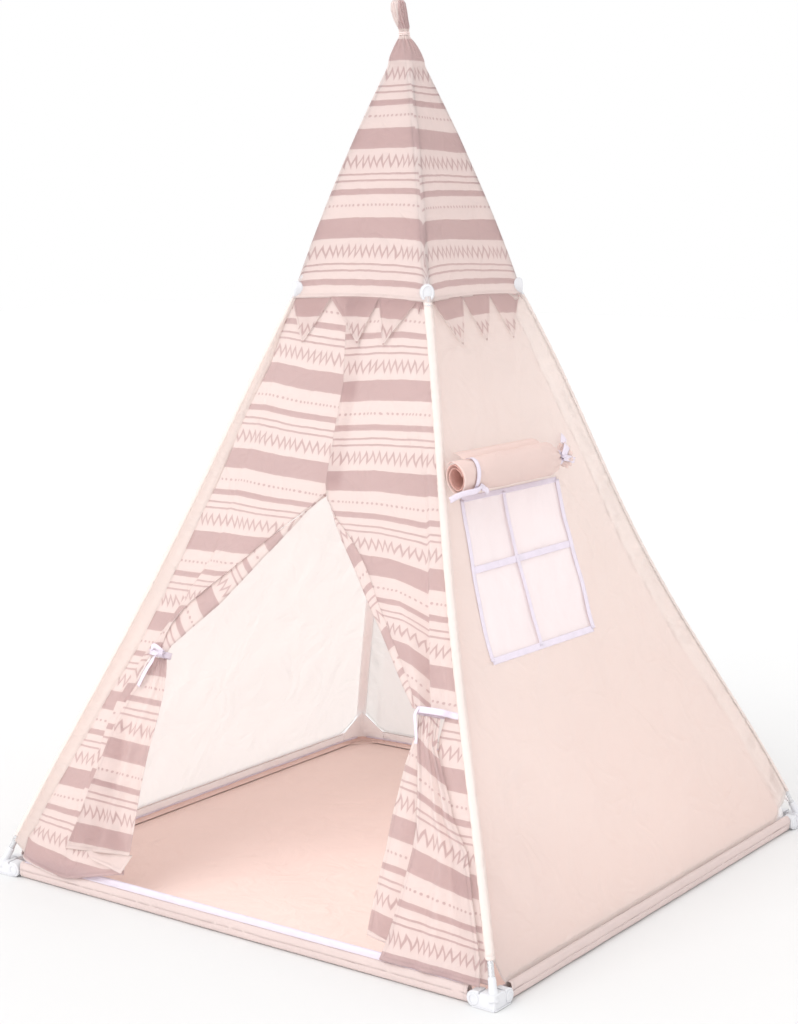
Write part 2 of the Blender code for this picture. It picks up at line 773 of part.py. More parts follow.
def build_peak_tie(cord):
    """A thin cord wound three times round the neck of the crown."""
    low, high = CROWN_PROFILE[NECK_STEP], CROWN_PROFILE[NECK_STEP + 1]
    neck = Vector((0, 0, (low[0] + high[0]) / 2)) + CROWN_LEAN_TO.normalized() * low[2]
    reach = low[1] + FIT + TIE_CORD_RADIUS
    pitch = 2 * TIE_CORD_RADIUS + FIT
    around = 14
    turns = 3
    spine = []
    for step in range(turns * around + 1):
        angle = 2 * math.pi * step / around
        rise = pitch * (step / around - turns / 2)
        spine.append(neck + Vector((reach * math.cos(angle), reach * math.sin(angle), rise)))
    place("peak_tie", rod(spine, TIE_CORD_RADIUS, 6), cord, math.radians(80))


def pennant_rows(face):
    """The strip's outline as columns: the bottom edge drops to a point three times."""
    start, end = cloth_edges(face, SEAM_HEIGHT)
    each = (end - start) / PENNANT_COUNT
    shape = (0.0, 0.25, 0.5, 0.75, 1.0)
    drops = (0.0, 0.5, 1.0, 0.5, 0.0)
    spots = []
    for pennant in range(PENNANT_COUNT):
        for share, drop in zip(shape, drops):
            if pennant and share == 0.0:
                continue
            spots.append((start + each * (pennant + share), drop))
    return spots


def build_pennants(striped):
    """A strip of three pointed pennants on each face, sewn on along the cap's seam."""
    for face in FACES:
        spots = pennant_rows(face)
        outer = []
        inner = []
        for row in range(PENNANT_STEPS, -1, -1):
            share = row / PENNANT_STEPS
            outer_row = []
            inner_row = []
            for spot, drop in spots:
                top = seam_height(face, spot) - FIT
                depth = PENNANT_BAND + (PENNANT_DROP - PENNANT_BAND) * drop
                height = top - depth * share
                layer = LAYER + PENNANT_FLARE * share
                outer_row.append(face_point(face, spot, height, layer + FABRIC / 2))
                inner_row.append(face_point(face, spot, height, layer - FABRIC / 2))
            outer.append(outer_row)
            inner.append(inner_row)
        sheet(f"pennants_{face}", outer, inner, striped)


# Walls


def wall_top(face, spot):
    """The wall's top edge lies just under the cap's seam."""
    return seam_height(face, spot) - SEAM_GAP


def wall_bottom(near):
    """The wall's bottom edge at a distance from a leg: on the base sleeve, cut away at the corner."""
    low = BASE_SLEEVE_TOP + FIT
    high = SLEEVE_FOOT - CUT_STEP
    return max(low, high - (high - low) * near / CORNER_CUT)


def inner_heights(low, high):
    """The lower leg's turning heights between two heights."""
    return [height for height in LOWER_HEIGHTS if low + STRAIGHT_END < height < high - STRAIGHT_END / 2]


def panel(name, face, columns_at, heights, material, present=None):
    """A wall sheet: columns_at gives the places of its columns at a height, as shares of the face."""
    outer = []
    inner = []
    for height in heights:
        outer_row = []
        inner_row = []
        for share in columns_at(height):
            rise = max(height, wall_bottom(min(share, 1 - share) * BASE_SIDE))
            start, end = cloth_edges(face, rise)
            spot = start + (end - start) * share
            rise = min(rise, wall_top(face, spot))
            outer_row.append(face_point(face, spot, rise, FABRIC / 2))
            inner_row.append(face_point(face, spot, rise, -FABRIC / 2))
        outer.append(outer_row)
        inner.append(inner_row)
    return sheet(name, outer, inner, material, present)


def wall_heights():
    """Rows of a plain wall, from the base sleeve to the seam."""
    low = BASE_SLEEVE_TOP + FIT
    return [low, SLEEVE_FOOT] + inner_heights(SLEEVE_FOOT, SEAM_HEIGHT) + [SEAM_HEIGHT + SEAM_ARCH]


def plain_columns(height):
    """Columns of a plain wall: the corner cuts and four between them."""
    corner = CORNER_CUT / (BASE_SIDE - 2 * SLEEVE_RADIUS)
    middle = [corner + (1 - 2 * corner) * step / 4 for step in range(5)]
    return [0.0] + middle + [1.0]


def window_edges(height):
    """The window's side edges at a height; they lean a little."""
    centre = WINDOW_CENTRE + WINDOW_LEAN * (height - (WINDOW_BOTTOM + WINDOW_TOP) / 2)
    return centre - WINDOW_WIDTH / 2, centre + WINDOW_WIDTH / 2


def window_columns(height):
    """Columns of the window wall: the window's two sides and its middle between the corner cuts."""
    level = min(max(height, WINDOW_BOTTOM), WINDOW_TOP)
    start, end = cloth_edges("right", level)
    left, right = [(spot - start) / (end - start) for spot in window_edges(level)]
    corner = CORNER_CUT / (BASE_SIDE - 2 * SLEEVE_RADIUS)
    fade = min(max((WINDOW_BOTTOM - height) / (WINDOW_BOTTOM - SLEEVE_FOOT), 0.0), 1.0)
    first = left * 0.5 * (1 - fade) + corner * fade
    last = (right + 1) / 2 * (1 - fade) + (1 - corner) * fade
    return [0.0, first, left, (left + right) / 2, right, last, 1.0]


def build_walls(plain):
    """Window wall with its opening, and two whole walls."""
    for face in ("rear", "left"):
        panel(f"wall_{face}", face, plain_columns, wall_heights(), plain)
    heights = sorted(wall_heights() + [WINDOW_BOTTOM, WINDOW_TOP])
    low_row = heights.index(WINDOW_BOTTOM)
    high_row = heights.index(WINDOW_TOP)

    def solid(row, column):
        return not (low_row <= row < high_row and column in (2, 3))

    panel("wall_right", "right", window_columns, heights, plain, solid)


# Window


def flat_patch(name, face, heights, spots_at, low_offset, high_offset, material, present=None):
    """A sheet on a face from a list of heights and the places of its columns at each."""
    outer = []
    inner = []
    for height in heights:
        outer.append([face_point(face, spot, height, high_offset) for spot in spots_at(height)])
        inner.append([face_point(face, spot, height, low_offset) for spot in spots_at(height)])
    return sheet(name, outer, inner, material, present)


def build_window(sheer, tape):
    """Sheer pane sewn on inside, and tape outside around it with an upright and a cross bar."""
    turns = [height for height in LOWER_HEIGHTS if WINDOW_BOTTOM < height < WINDOW_TOP]

    def pane_spots(height):
        left, right = window_edges(height)
        return [left - WINDOW_MARGIN, (left + right) / 2, right + WINDOW_MARGIN]

    pane_heights = sorted([WINDOW_BOTTOM - WINDOW_MARGIN, WINDOW_TOP + WINDOW_MARGIN] + turns)
    under = -FABRIC / 2 - FIT
    flat_patch("window_pane", "right", pane_heights, pane_spots, under - PANE, under, sheer)

    half = TAPE_WIDTH / 2
    edge = TAPE_WIDTH - FABRIC

    def tape_spots(height):
        left, right = window_edges(height)
        centre = (left + right) / 2 + WINDOW_UPRIGHT
        return [left - edge, left + FABRIC, centre - half, centre + half, right - FABRIC, right + edge]

    rows = [
        WINDOW_BOTTOM - edge, WINDOW_BOTTOM + FABRIC,
        WINDOW_CROSSBAR - half, WINDOW_CROSSBAR + half,
        WINDOW_TOP - FABRIC, WINDOW_TOP + edge,
    ]
    extra = [height for height in turns if all(abs(height - row) > TAPE_WIDTH for row in rows)]
    heights = sorted(rows + extra)
    level_bars = (rows[0], rows[2], rows[4])

    def solid(row, column):
        return column in (0, 2, 4) or heights[row] in level_bars

    over = FABRIC / 2 + FIT
    flat_patch("window_tape", "right", heights, tape_spots, over, over + PANE, tape, solid)


def blind_frame(across):
    """Centre of the blind's section, and its directions away from the wall and up it."""
    outwards = face_normal("right", across, BLIND_HEIGHT)
    centre = face_point("right", across, BLIND_HEIGHT, BLIND_BACK + BLIND_HALF_DEEP)
    return centre, outwards, outwards.cross(FACES["right"][2])


def blind_ring(across, size, grow, tab):
    """The blind's section: an oval, with a flat tab up to its seam where tab is set."""
    centre, outwards, upwards = blind_frame(across)
    ring = []
    for side in range(BLIND_SIDES):
        angle = 2 * math.pi * side / BLIND_SIDES
        deep = (BLIND_HALF_DEEP * size + grow) * math.cos(angle)
        tall = (BLIND_HALF_TALL * size + grow) * math.sin(angle)
        above = side - BLIND_SIDES // 4
        if tab and above in (1, 2):
            tall = BLIND_HALF_TALL + BLIND_TAB
            deep = FABRIC / 2 + BLIND_TAB_GAP + FABRIC * (2 - above) - BLIND_BACK - BLIND_HALF_DEEP
        ring.append(centre + outwards * deep + upwards * tall)
    return ring


def bow_pieces(seat, outwards, along, width, sides=(-1, 1)):
    """A knot that sits on a ribbon, with a loop and a hanging end of flat ribbon on each side."""
    downwards = along.cross(outwards)
    if downwards.z > 0:
        downwards.negate()
    flat = 0.20 * width
    centre = seat + outwards * (flat - RIBBON / 2)
    knot = ball((0, 0, 0), 0.42 * width, 0.42 * width)
    for vert in knot.vertices:
        spot = vert.co.copy()
        vert.co = centre + along * spot.x + outwards * (spot.y * flat / (0.42 * width)) + downwards * spot.z
    pieces = [knot]
    for side in sides:
        for sideways, drop, lift, half in ((2.0, 0.3, 0.05, 0.40), (1.1, 2.0, 0.30, 0.28)):
            tip = centre + along * (side * width * sideways) + downwards * (width * drop)
            tip += outwards * (width * lift)
            across = (tip - centre).cross(outwards).normalized() * (width * half)
            thick = across.cross(tip - centre).normalized() * (RIBBON / 2)
            if thick.dot(outwards) < 0:
                across.negate()
                thick.negate()
            rings = []
            for spot in (centre, tip):
                rings.append([spot - across - thick, spot - across + thick,
                              spot + across + thick, spot + across - thick])
            pieces.append(sections_mesh("ribbon", rings))
    return pieces


def build_blind(plain, ribbon):
    """Rolled blind: one end open, the other tied together; it hangs from a seam above."""
    sections = (
        (BLIND_HIGH, BLIND_FLARE_SIZE, False),
        (BLIND_NECK, BLIND_NECK_SIZE, False),
        (BLIND_SHOULDER, 1.0, False),
        (BLIND_SHOULDER - BLIND_CLOTH, 1.0, True),
        (BLIND_LOW, 1.0, True),
    )
    outer = [blind_ring(across, size, 0.0, tab) for across, size, tab in sections]
    inner = [blind_ring(across, size, -BLIND_CLOTH, False) for across, size, tab in sections]
    place("window_blind", sections_mesh("window_blind", outer, inner), plain, math.radians(50))

    along = FACES["right"][2]
    edges = (BLIND_TIE_PLACE - TIE_WIDTH / 2, BLIND_TIE_PLACE + TIE_WIDTH / 2)
    last = BLIND_SIDES // 4
    first = last + 3 - BLIND_SIDES
    rings_out = [blind_ring(edge, 1.0, FIT + RIBBON, False) for edge in edges]
    rings_in = [blind_ring(edge, 1.0, FIT, False) for edge in edges]
    outer = [[ring[side] for ring in rings_out] for side in range(first, last + 1)]
    inner = [[ring[side] for ring in rings_in] for side in range(first, last + 1)]
    band = sheet_mesh("band", outer, inner)
    centre, outwards, upwards = blind_frame(BLIND_TIE_PLACE)
    low = -math.pi / 4
    seat_out = outwards * math.cos(low) + upwards * math.sin(low)
    reach = Vector((BLIND_HALF_DEEP * math.cos(low), BLIND_HALF_TALL * math.sin(low)))
    seat = centre + outwards * reach.x + upwards * reach.y + seat_out * (FIT + RIBBON)
    bow = bow_pieces(seat, seat_out, along, TIE_WIDTH)
    place("blind_tie_front", carved("blind_tie_front", band, bow, []), ribbon)

    tie_low, tie_high = BLIND_NECK - TIE_WIDTH / 2, BLIND_NECK + TIE_WIDTH / 2
    size = BLIND_NECK_SIZE + (1 - BLIND_NECK_SIZE) * (TIE_WIDTH / 2) / (BLIND_NECK - BLIND_SHOULDER)
    rings_out = [blind_ring(edge, size, FIT + RIBBON, False) for edge in (tie_high, tie_low)]
    rings_in = [blind_ring(edge, size, FIT, False) for edge in (tie_high, tie_low)]
    band = sections_mesh("band", rings_out, rings_in)
    centre, outwards, upwards = blind_frame(BLIND_NECK)
    seat = centre + outwards * (BLIND_HALF_DEEP * size + FIT + RIBBON)
    pieces = bow_pieces(seat, outwards, along, TIE_WIDTH, (1,))
    foot = centre + upwards * (BLIND_HALF_TALL * size + FIT + RIBBON / 2)
    head = centre + upwards * (BLIND_HALF_TALL + BLIND_TAB)
    head += outwards * (FABRIC / 2 + BLIND_TAB_GAP + RIBBON - BLIND_BACK - BLIND_HALF_DEEP)
    wide = along * (TIE_WIDTH / 2)
    thick = (head - foot).cross(along).normalized() * (RIBBON / 2)
    strap = [[spot - wide - thick, spot + wide - thick, spot + wide + thick, spot - wide + thick]
             for spot in (foot, head)]
    pieces.append(sections_mesh("strap", strap))
    place("blind_tie_rear", carved("blind_tie_rear", band, pieces, []), ribbon)


# Door


def door_band_width(height):
    """Width of the plain band beside the left curtain; it narrows towards the top."""
    share = min(max((height - OPENING_TOP) / (SEAM_HEIGHT - OPENING_TOP), 0.0), 1.0)
    return DOOR_BAND_LOW + (DOOR_BAND_HIGH - DOOR_BAND_LOW) * share


def door_heights(extra):
    """Rows of the door's cloth from the hem to the seam."""
    rows = [HEM_HEIGHT, SLEEVE_FOOT, OPENING_TOP] + inner_heights(SLEEVE_FOOT, SEAM_HEIGHT)
    rows = [row for row in rows if all(abs(row - other) > SEAM_ARCH for other in extra)]
    return sorted(rows + extra) + [SEAM_HEIGHT + SEAM_ARCH]


def left_band_edge(height):
    """Where the plain band ends and the left curtain begins."""
    return cloth_edges("front", height)[0] + door_band_width(height)


def build_door_band(plain):
    """Plain band sewn between the left leg sleeve and the left curtain."""
    outer = []
    inner = []
    for height in door_heights([]):
        places = []
        for width in (0.0, door_band_width(height)):
            rise = max(height, wall_bottom(width))
            spot = cloth_edges("front", rise)[0] + width
            places.append((spot, min(rise, wall_top("front", spot))))
        outer.append([face_point("front", spot, rise, FABRIC / 2) for spot, rise in places])
        inner.append([face_point("front", spot, rise, -FABRIC / 2) for spot, rise in places])
    sheet("door_band", outer, inner, plain)


def part_line(height):
    """The free inner edge of the right curtain, down to the top of the opening."""
    share = (SEAM_HEIGHT - height) / (SEAM_HEIGHT - OPENING_TOP)
    return CURTAIN_PART_TOP + (CURTAIN_PART_LOW - CURTAIN_PART_TOP) * share


def curtain_sizes(side):
    """The tie's height and inner and outer end, and the tail's inner and outer end at its hem."""
    if side == "left":
        return LEFT_TIE_HEIGHT, LEFT_TIE_IN, LEFT_TIE_OUT, LEFT_TAIL_IN, LEFT_TAIL_OUT
    return RIGHT_TIE_HEIGHT, RIGHT_TIE_IN, RIGHT_TIE_OUT, RIGHT_TAIL_IN, RIGHT_TAIL_OUT


def sewn_edge(side, height):
    """A curtain's edge that is sewn on."""
    if side == "left":
        return left_band_edge(height) + FIT
    return cloth_edges("front", height)[1]


def curtain_places(side, height):
    """Places of a curtain's sewn edge, its fold line, the bundle's outer edge and its free edge."""
    tie_height, tie_in, tie_out, tail_in, tail_out = curtain_sizes(side)
    sewn = sewn_edge(side, height)
    outwards = 1 if side == "right" else -1
    if height < tie_height - NECK_RISE:
        drop = (tie_height - height) / (tie_height - HEM_HEIGHT)
        bundle = tie_out + (tail_out - tie_out) * drop
        return sewn, bundle + outwards * TAIL_GAP, bundle, tie_in
    neck_level = tie_height + NECK_RISE
    level = max(height, neck_level)
    top_edge = CURTAIN_PART_LOW if side == "right" else CURTAIN_PART_LOW + CURTAIN_OVERLAP / 2
    if level >= OPENING_TOP:
        free = part_line(level) if side == "right" else top_edge
    else:
        free = top_edge + (tie_in - top_edge) * (OPENING_TOP - level) / (OPENING_TOP - neck_level)
    at_tie = (tie_out - sewn_edge(side, neck_level)) / (tie_in - sewn_edge(side, neck_level))
    rise = (level - neck_level) / (SEAM_HEIGHT - neck_level)
    level_sewn = sewn_edge(side, level)
    bundle = level_sewn + (free - level_sewn) * (at_tie + (0.45 - at_tie) * rise)
    return sewn, bundle + outwards * TAIL_GAP, bundle, free


def build_curtain(side, striped):
    """A curtain's sewn part: whole above the tie, a neck at the tie, a strip along the leg below."""
    tie_height = curtain_sizes(side)[0]
    neck_top = tie_height + TIE_WIDTH
    neck_bottom = tie_height - NECK_RISE
    heights = door_heights([neck_bottom, tie_height + NECK_RISE, neck_top, OPENING_TOP])
    slit_row = heights.index(neck_top)
    neck_row = heights.index(neck_bottom)
    outer = []
    inner = []
    for height in heights:
        sewn, fold, bundle, free = curtain_places(side, height)
        swell = 0.0
        if height < OPENING_TOP:
            swell = max(0.0, 1 - abs(height - tie_height) / (OPENING_TOP - tie_height))
        depth = FABRIC / 2 + (BUNDLE_HALF_DEPTH - FABRIC / 2) * swell ** 1.5
        spots = [sewn, fold, bundle, bundle + (free - bundle) * 0.35, bundle + (free - bundle) * 0.75, free]
        thin = FABRIC / 2
        halves = [thin, thin, thin + 0.25 * depth * swell, depth, depth * (1 - 0.25 * swell),
                  depth * (1 - 0.6 * swell)]
        shifts = [0.0] * 6
        if side == "left" and height >= OPENING_TOP:
            spots[3] = part_line(height) - CURTAIN_OVERLAP * 0.75
            spots[4] = part_line(height) - CURTAIN_OVERLAP * 0.25
            shifts[4] = -CURTAIN_BEHIND
            shifts[5] = -CURTAIN_BEHIND
        outer_row = []
        inner_row = []
        for spot, half, shift in zip(spots, halves, shifts):
            rise = min(height, wall_top("front", spot))
            if height < SLEEVE_FOOT:
                leg_edge = cloth_edges("front", height)[0 if side == "left" else 1]
                rise = max(height, wall_bottom(abs(spot - leg_edge)))
                if spot == sewn:
                    spot = sewn_edge(side, rise)
            outer_row.append(face_point("front", spot, rise, shift + half))
            inner_row.append(face_point("front", spot, rise, shift - half))
        if side == "right":
            outer_row.reverse()
            inner_row.reverse()
        outer.append(outer_row)
        inner.append(inner_row)
    slit_column = 1 if side == "left" else 3

    def solid(row, column):
        if column == slit_column:
            return row >= slit_row
        if (column < slit_column) == (side == "left"):
            return True
        return row >= neck_row

    sheet(f"{side}_curtain", outer, inner, striped, solid)


def build_tail(side, striped):
    """The part of a curtain that hangs free below the tie, in soft folds; it swings on the tie."""
    tie_height, tie_in, tie_out, tail_in, tail_out = curtain_sizes(side)
    folds = LEFT_FOLDS if side == "left" else RIGHT_FOLDS
    top = tie_height - NECK_RISE - SEAM_GAP
    columns = round(4 * folds)
    outer = []
    inner = []
    for height in steps(HEM_HEIGHT, top - TAIL_SHOULDER, TAIL_ROWS) + [top]:
        drop = (top - height) / (top - HEM_HEIGHT)
        spread = math.sin(min(drop * 2.2, 1.0) * math.pi / 2)
        free = tie_in + (tail_in - tie_in) * drop
        bundle = tie_out + (tail_out - tie_out) * drop
        half = 0.6 * BUNDLE_HALF_DEPTH * (1 - spread) + TAIL_SHEET / 2
        if height == top:
            half = TAIL_EDGE / 2
        outer_row = []
        inner_row = []
        for step in range(columns + 1):
            spot = bundle + (free - bundle) * step / columns
            wave = TAIL_FOLD * spread * math.sin(math.pi / 2 * step)
            outer_row.append(face_point("front", spot, height, wave + half))
            inner_row.append(face_point("front", spot, height, wave - half))
        if side == "right":
            outer_row.reverse()
            inner_row.reverse()
        outer.append(outer_row)
        inner.append(inner_row)
    sheet(f"{side}_curtain_tail", outer, inner, striped)


def build_curtain_tie(side, ribbon):
    """Ribbon round the gathered curtain, from the sewn edge, with a bow in front."""
    height, edge_in, edge_out, tail_in, tail_out = curtain_sizes(side)
    along = FACES["front"][2]
    middle = (edge_in + edge_out) / 2
    outwards = face_normal("front", middle, height)
    upwards = outwards.cross(along)
    centre = face_point("front", middle, height)
    half_wide = abs(edge_in - edge_out) / 2 + 4 * FIT
    half_deep = BUNDLE_HALF_DEPTH + 4 * FIT
    sides = 16

    def ring(level, grow):
        points = []
        for step in range(sides):
            angle = 2 * math.pi * step / sides
            wide = (half_wide + grow) * math.copysign(abs(math.cos(angle)) ** 0.6, math.cos(angle))
            deep = (half_deep + grow) * math.copysign(abs(math.sin(angle)) ** 0.6, math.sin(angle))
            points.append(centre + along * wide - outwards * deep + upwards * level)
        return points

    levels = (-TIE_WIDTH / 2, TIE_WIDTH / 2)
    outer = [ring(level, RIBBON) for level in levels]
    inner = [ring(level, 0.0) for level in levels]
    band = sections_mesh("band", outer, inner)
    pieces = bow_pieces(centre + outwards * (half_deep + RIBBON), outwards, along, TIE_WIDTH)
    sign = 1 if side == "right" else -1
    start = middle + sign * (half_wide - RIBBON)
    end = sewn_edge(side, height + TIE_WIDTH / 2) - sign * RIBBON
    strap = []
    for spot in sorted((start, end)):
        base = face_point("front", spot, height, FABRIC / 2 + FIT)
        rise = upwards * (TIE_WIDTH / 2)
        thick = outwards * RIBBON
        strap.append([base - rise, base - rise + thick, base + rise + thick, base + rise])
    pieces.append(sections_mesh("strap", strap))
    place(f"{side}_curtain_tie", carved(f"{side}_curtain_tie", band, pieces, []), ribbon)


# Floor


def square_ring(half, cut, height):
    """A square with its corners cut off, counter-clockwise from above."""
    near = half - cut
    spots = [(half, -near), (half, near), (near, half), (-near, half),
             (-half, near), (-half, -near), (-near, -half), (near, -half)]
    return [Vector((x, y, height)) for x, y in spots]


def build_floor(floor_cloth, tape):
    """Floor mat inside the base sleeves, and the binding tape sewn along its edge."""
    half = HALF_SIDE - TUBE_RADIUS - FIT - SLEEVE_WALL - FIT
    cut = CORNER_CUT
    top = MAT_BOTTOM + MAT
    mat = [square_ring(half, cut, MAT_BOTTOM), square_ring(half, cut, top)]
    place("floor_mat", sections_mesh("floor_mat", mat), floor_cloth)
    seat = top + FIT
    levels = (seat, seat + BINDING, BINDING_RISE)
    outer = [square_ring(half, cut, level) for level in levels]
    flat = [square_ring(half - BINDING_WIDTH, cut - BINDING_WIDTH * 0.586, level) for level in levels[:2]]
    upturned = [square_ring(half - BINDING, cut - BINDING * 0.586, level) for level in levels[1:]]
    outer.insert(2, square_ring(half, cut, seat + 2 * BINDING))
    place("floor_binding", sections_mesh("floor_binding", outer, flat + upturned), tape)


# Places of the hinges


def set_origin(name, spot):
    """Put a piece's origin on the line it turns about, with the piece itself left where it is."""
    item = bpy.data.objects[name]
    item.data.transform(Matrix.Translation(-spot))
    item.location = spot


def set_hinge_origins():
    """Origins of the pieces that move: on the sewn top edge, or on the neck at a curtain's tie."""
    seam = []
    for across in (BLIND_LOW, BLIND_SHOULDER - BLIND_CLOTH):
        ring = blind_ring(across, 1.0, 0.0, True)
        upwards = blind_frame(across)[2]
        above = BLIND_SIDES // 4 + 1
        seam.append((ring[above] + ring[above + 1]) / 2 - upwards * (FABRIC / 2))
    for name in ("window_blind", "blind_tie_front", "blind_tie_rear"):
        set_origin(name, (seam[0] + seam[1]) / 2)
    for face in FACES:
        middle = seam_height(face, 0.0) - FIT - FABRIC / 4
        ends = [face_point(face, spot, middle, LAYER) for spot in cloth_edges(face, SEAM_HEIGHT)]
        set_origin(f"pennants_{face}", (ends[0] + ends[1]) / 2)
    for side in ("left", "right"):
        tie_height, tie_in, tie_out = curtain_sizes(side)[:3]
        top = tie_height - NECK_RISE - SEAM_GAP
        set_origin(f"{side}_curtain_tail", face_point("front", (tie_in + tie_out) / 2, top - 0.0005, 0.0))


def build_tent():
    """Build every piece."""
    clear_scene()
    plastic = finish("white_plastic", (0.90, 0.90, 0.90), 0.35)
    metal = finish("white_metal", (0.82, 0.82, 0.82), 0.25, 0.6)
    striped = finish("striped_cloth", (0.86, 0.72, 0.69), 0.85)
    plain = finish("plain_cloth", (0.90, 0.74, 0.66), 0.85)
    floor_cloth = finish("floor_cloth", (0.86, 0.66, 0.58), 0.80)
    ribbon = finish("ribbon", (0.80, 0.72, 0.85), 0.60)
    sheer = finish("sheer_cloth", (0.92, 0.85, 0.88), 0.70)
    cord = finish("tie_cord", (0.88, 0.78, 0.74), 0.80)
    build_base_connectors(plastic)
    build_base_tubes(metal)
    build_leg_tubes(metal)
    build_mid_connectors(plastic)
    build_peak_hub(plastic)
    build_leg_sleeves(plain, striped)
    build_base_sleeves(plain)
    build_cap(striped)
    build_crown(striped)
    build_peak_tie(cord)
    build_pennants(striped)
    build_walls(plain)
    build_window(sheer, ribbon)
    build_blind(plain, ribbon)
    build_door_band(plain)
    for side in ("left", "right"):
        build_curtain(side, striped)
        build_tail(side, striped)
        build_curtain_tie(side, ribbon)
    build_floor(floor_cloth, ribbon)
    set_hinge_origins()


build_tent()
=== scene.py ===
# A child's play tent: four thin tubes lean together over a square of tubes on the ground, and a sewn
# cloth cover hangs on them, with a striped cap, striped door curtains tied back, plain walls, a
# window with its blind rolled up, and a floor mat. Metres, +Z up, the door towards -Y.
import math

import bmesh
import bpy
import numpy as np
from mathutils import Matrix, Vector


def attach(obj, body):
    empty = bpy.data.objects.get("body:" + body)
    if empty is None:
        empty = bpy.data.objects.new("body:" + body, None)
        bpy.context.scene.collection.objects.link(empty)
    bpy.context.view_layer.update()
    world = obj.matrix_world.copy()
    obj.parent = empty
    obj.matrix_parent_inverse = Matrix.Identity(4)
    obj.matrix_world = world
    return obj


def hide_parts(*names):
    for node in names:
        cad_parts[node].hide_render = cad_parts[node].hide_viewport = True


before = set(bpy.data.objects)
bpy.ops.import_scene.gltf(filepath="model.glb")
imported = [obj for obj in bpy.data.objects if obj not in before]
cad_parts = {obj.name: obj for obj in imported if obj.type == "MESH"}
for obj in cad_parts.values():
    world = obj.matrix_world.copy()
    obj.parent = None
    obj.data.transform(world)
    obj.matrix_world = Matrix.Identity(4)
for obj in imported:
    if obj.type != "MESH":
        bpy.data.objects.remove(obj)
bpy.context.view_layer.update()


# Camera
# It stands a little above the cap's seam, 36 degrees to the right of the door, far enough off for
# the whole tent to fill a frame of 798 by 1024.
EYE = Vector((2.0721, -2.8566, 1.2103))
CAMERA_TURN = math.radians(36.2945)
CAMERA_RISE = math.radians(9.2092)
CAMERA_TILT = math.radians(-0.5547)
LENS_MM = 68.91
SENSOR_MM = 36.0


def into_scene(thing):
    """Links a new object to the scene."""
    bpy.context.scene.collection.objects.link(thing)


towards_eye = Vector((
    math.sin(CAMERA_TURN) * math.cos(CAMERA_RISE),
    -math.cos(CAMERA_TURN) * math.cos(CAMERA_RISE),
    math.sin(CAMERA_RISE),
))
level = Vector((math.cos(CAMERA_TURN), math.sin(CAMERA_TURN), 0))
picture_right = level * math.cos(CAMERA_TILT) + towards_eye.cross(level) * math.sin(CAMERA_TILT)
picture_up = towards_eye.cross(picture_right)
camera_data = bpy.data.cameras.new("camera")
camera_data.sensor_fit = "VERTICAL"
camera_data.sensor_height = SENSOR_MM
camera_data.lens = LENS_MM
camera = bpy.data.objects.new("camera", camera_data)
camera.location = EYE
camera.rotation_euler = Matrix((picture_right, picture_up, towards_eye)).transposed().to_euler()
into_scene(camera)
bpy.context.scene.camera = camera
bpy.context.scene.view_settings.view_transform = "Standard"


# Studio
# A pale floor that runs to the horizon under an even white sky, and one wide soft lamp high in front
# of the door, so that the door's side is a little brighter than the window's. To the camera the
# floor is just white in the open, so that the tent's shadow shows on it.
FLOOR_REACH = 14.0
SKY_STRENGTH = 1.15
LAMP_STRENGTH = 1.32
LAMP_ANGLE = math.radians(50)
LAMP_FROM = Vector((-0.20, -1.0, 0.95))
FLOOR_WHITE = 0.95
FLOOR_SEEN = 0.71


def add(tree, kind, values=None, **settings):
    """One shader node; values give its inputs, each a socket to link or a plain number or colour."""
    made = tree.nodes.new(kind)
    for key, value in settings.items():
        setattr(made, key, value)
    for key, value in (values or {}).items():
        if isinstance(value, bpy.types.NodeSocket):
            tree.links.new(value, made.inputs[key])
        else:
            made.inputs[key].default_value = value
    return made


def seen_directly(tree):
    """1 for rays from the camera, mirrors and glass, 0 for the light that falls on the tent."""
    path = add(tree, "ShaderNodeLightPath")
    first = add(tree, "ShaderNodeMath", {0: path.outputs["Is Camera Ray"],
                                         1: path.outputs["Is Glossy Ray"]}, operation="MAXIMUM")
    both = add(tree, "ShaderNodeMath", {0: first.outputs[0],
                                        1: path.outputs["Is Transmission Ray"]},
               operation="MAXIMUM")
    return both.outputs[0]


world = bpy.data.worlds.new("sky")
world.use_nodes = True
sky = world.node_tree
sky.nodes.clear()
dim = add(sky, "ShaderNodeBackground", {"Color": (1, 1, 1, 1), "Strength": SKY_STRENGTH})
white = add(sky, "ShaderNodeBackground", {"Color": (1, 1, 1, 1), "Strength": 1.0})
either = add(sky, "ShaderNodeMixShader",
             {0: seen_directly(sky), 1: dim.outputs[0], 2: white.outputs[0]})
add(sky, "ShaderNodeOutputWorld", {"Surface": either.outputs[0]})
bpy.context.scene.world = world

lamp_data = bpy.data.lights.new("lamp", "SUN")
lamp_data.energy = LAMP_STRENGTH
lamp_data.angle = LAMP_ANGLE
lamp = bpy.data.objects.new("lamp", lamp_data)
lamp.rotation_euler = LAMP_FROM.to_track_quat("Z", "Y").to_euler()
into_scene(lamp)

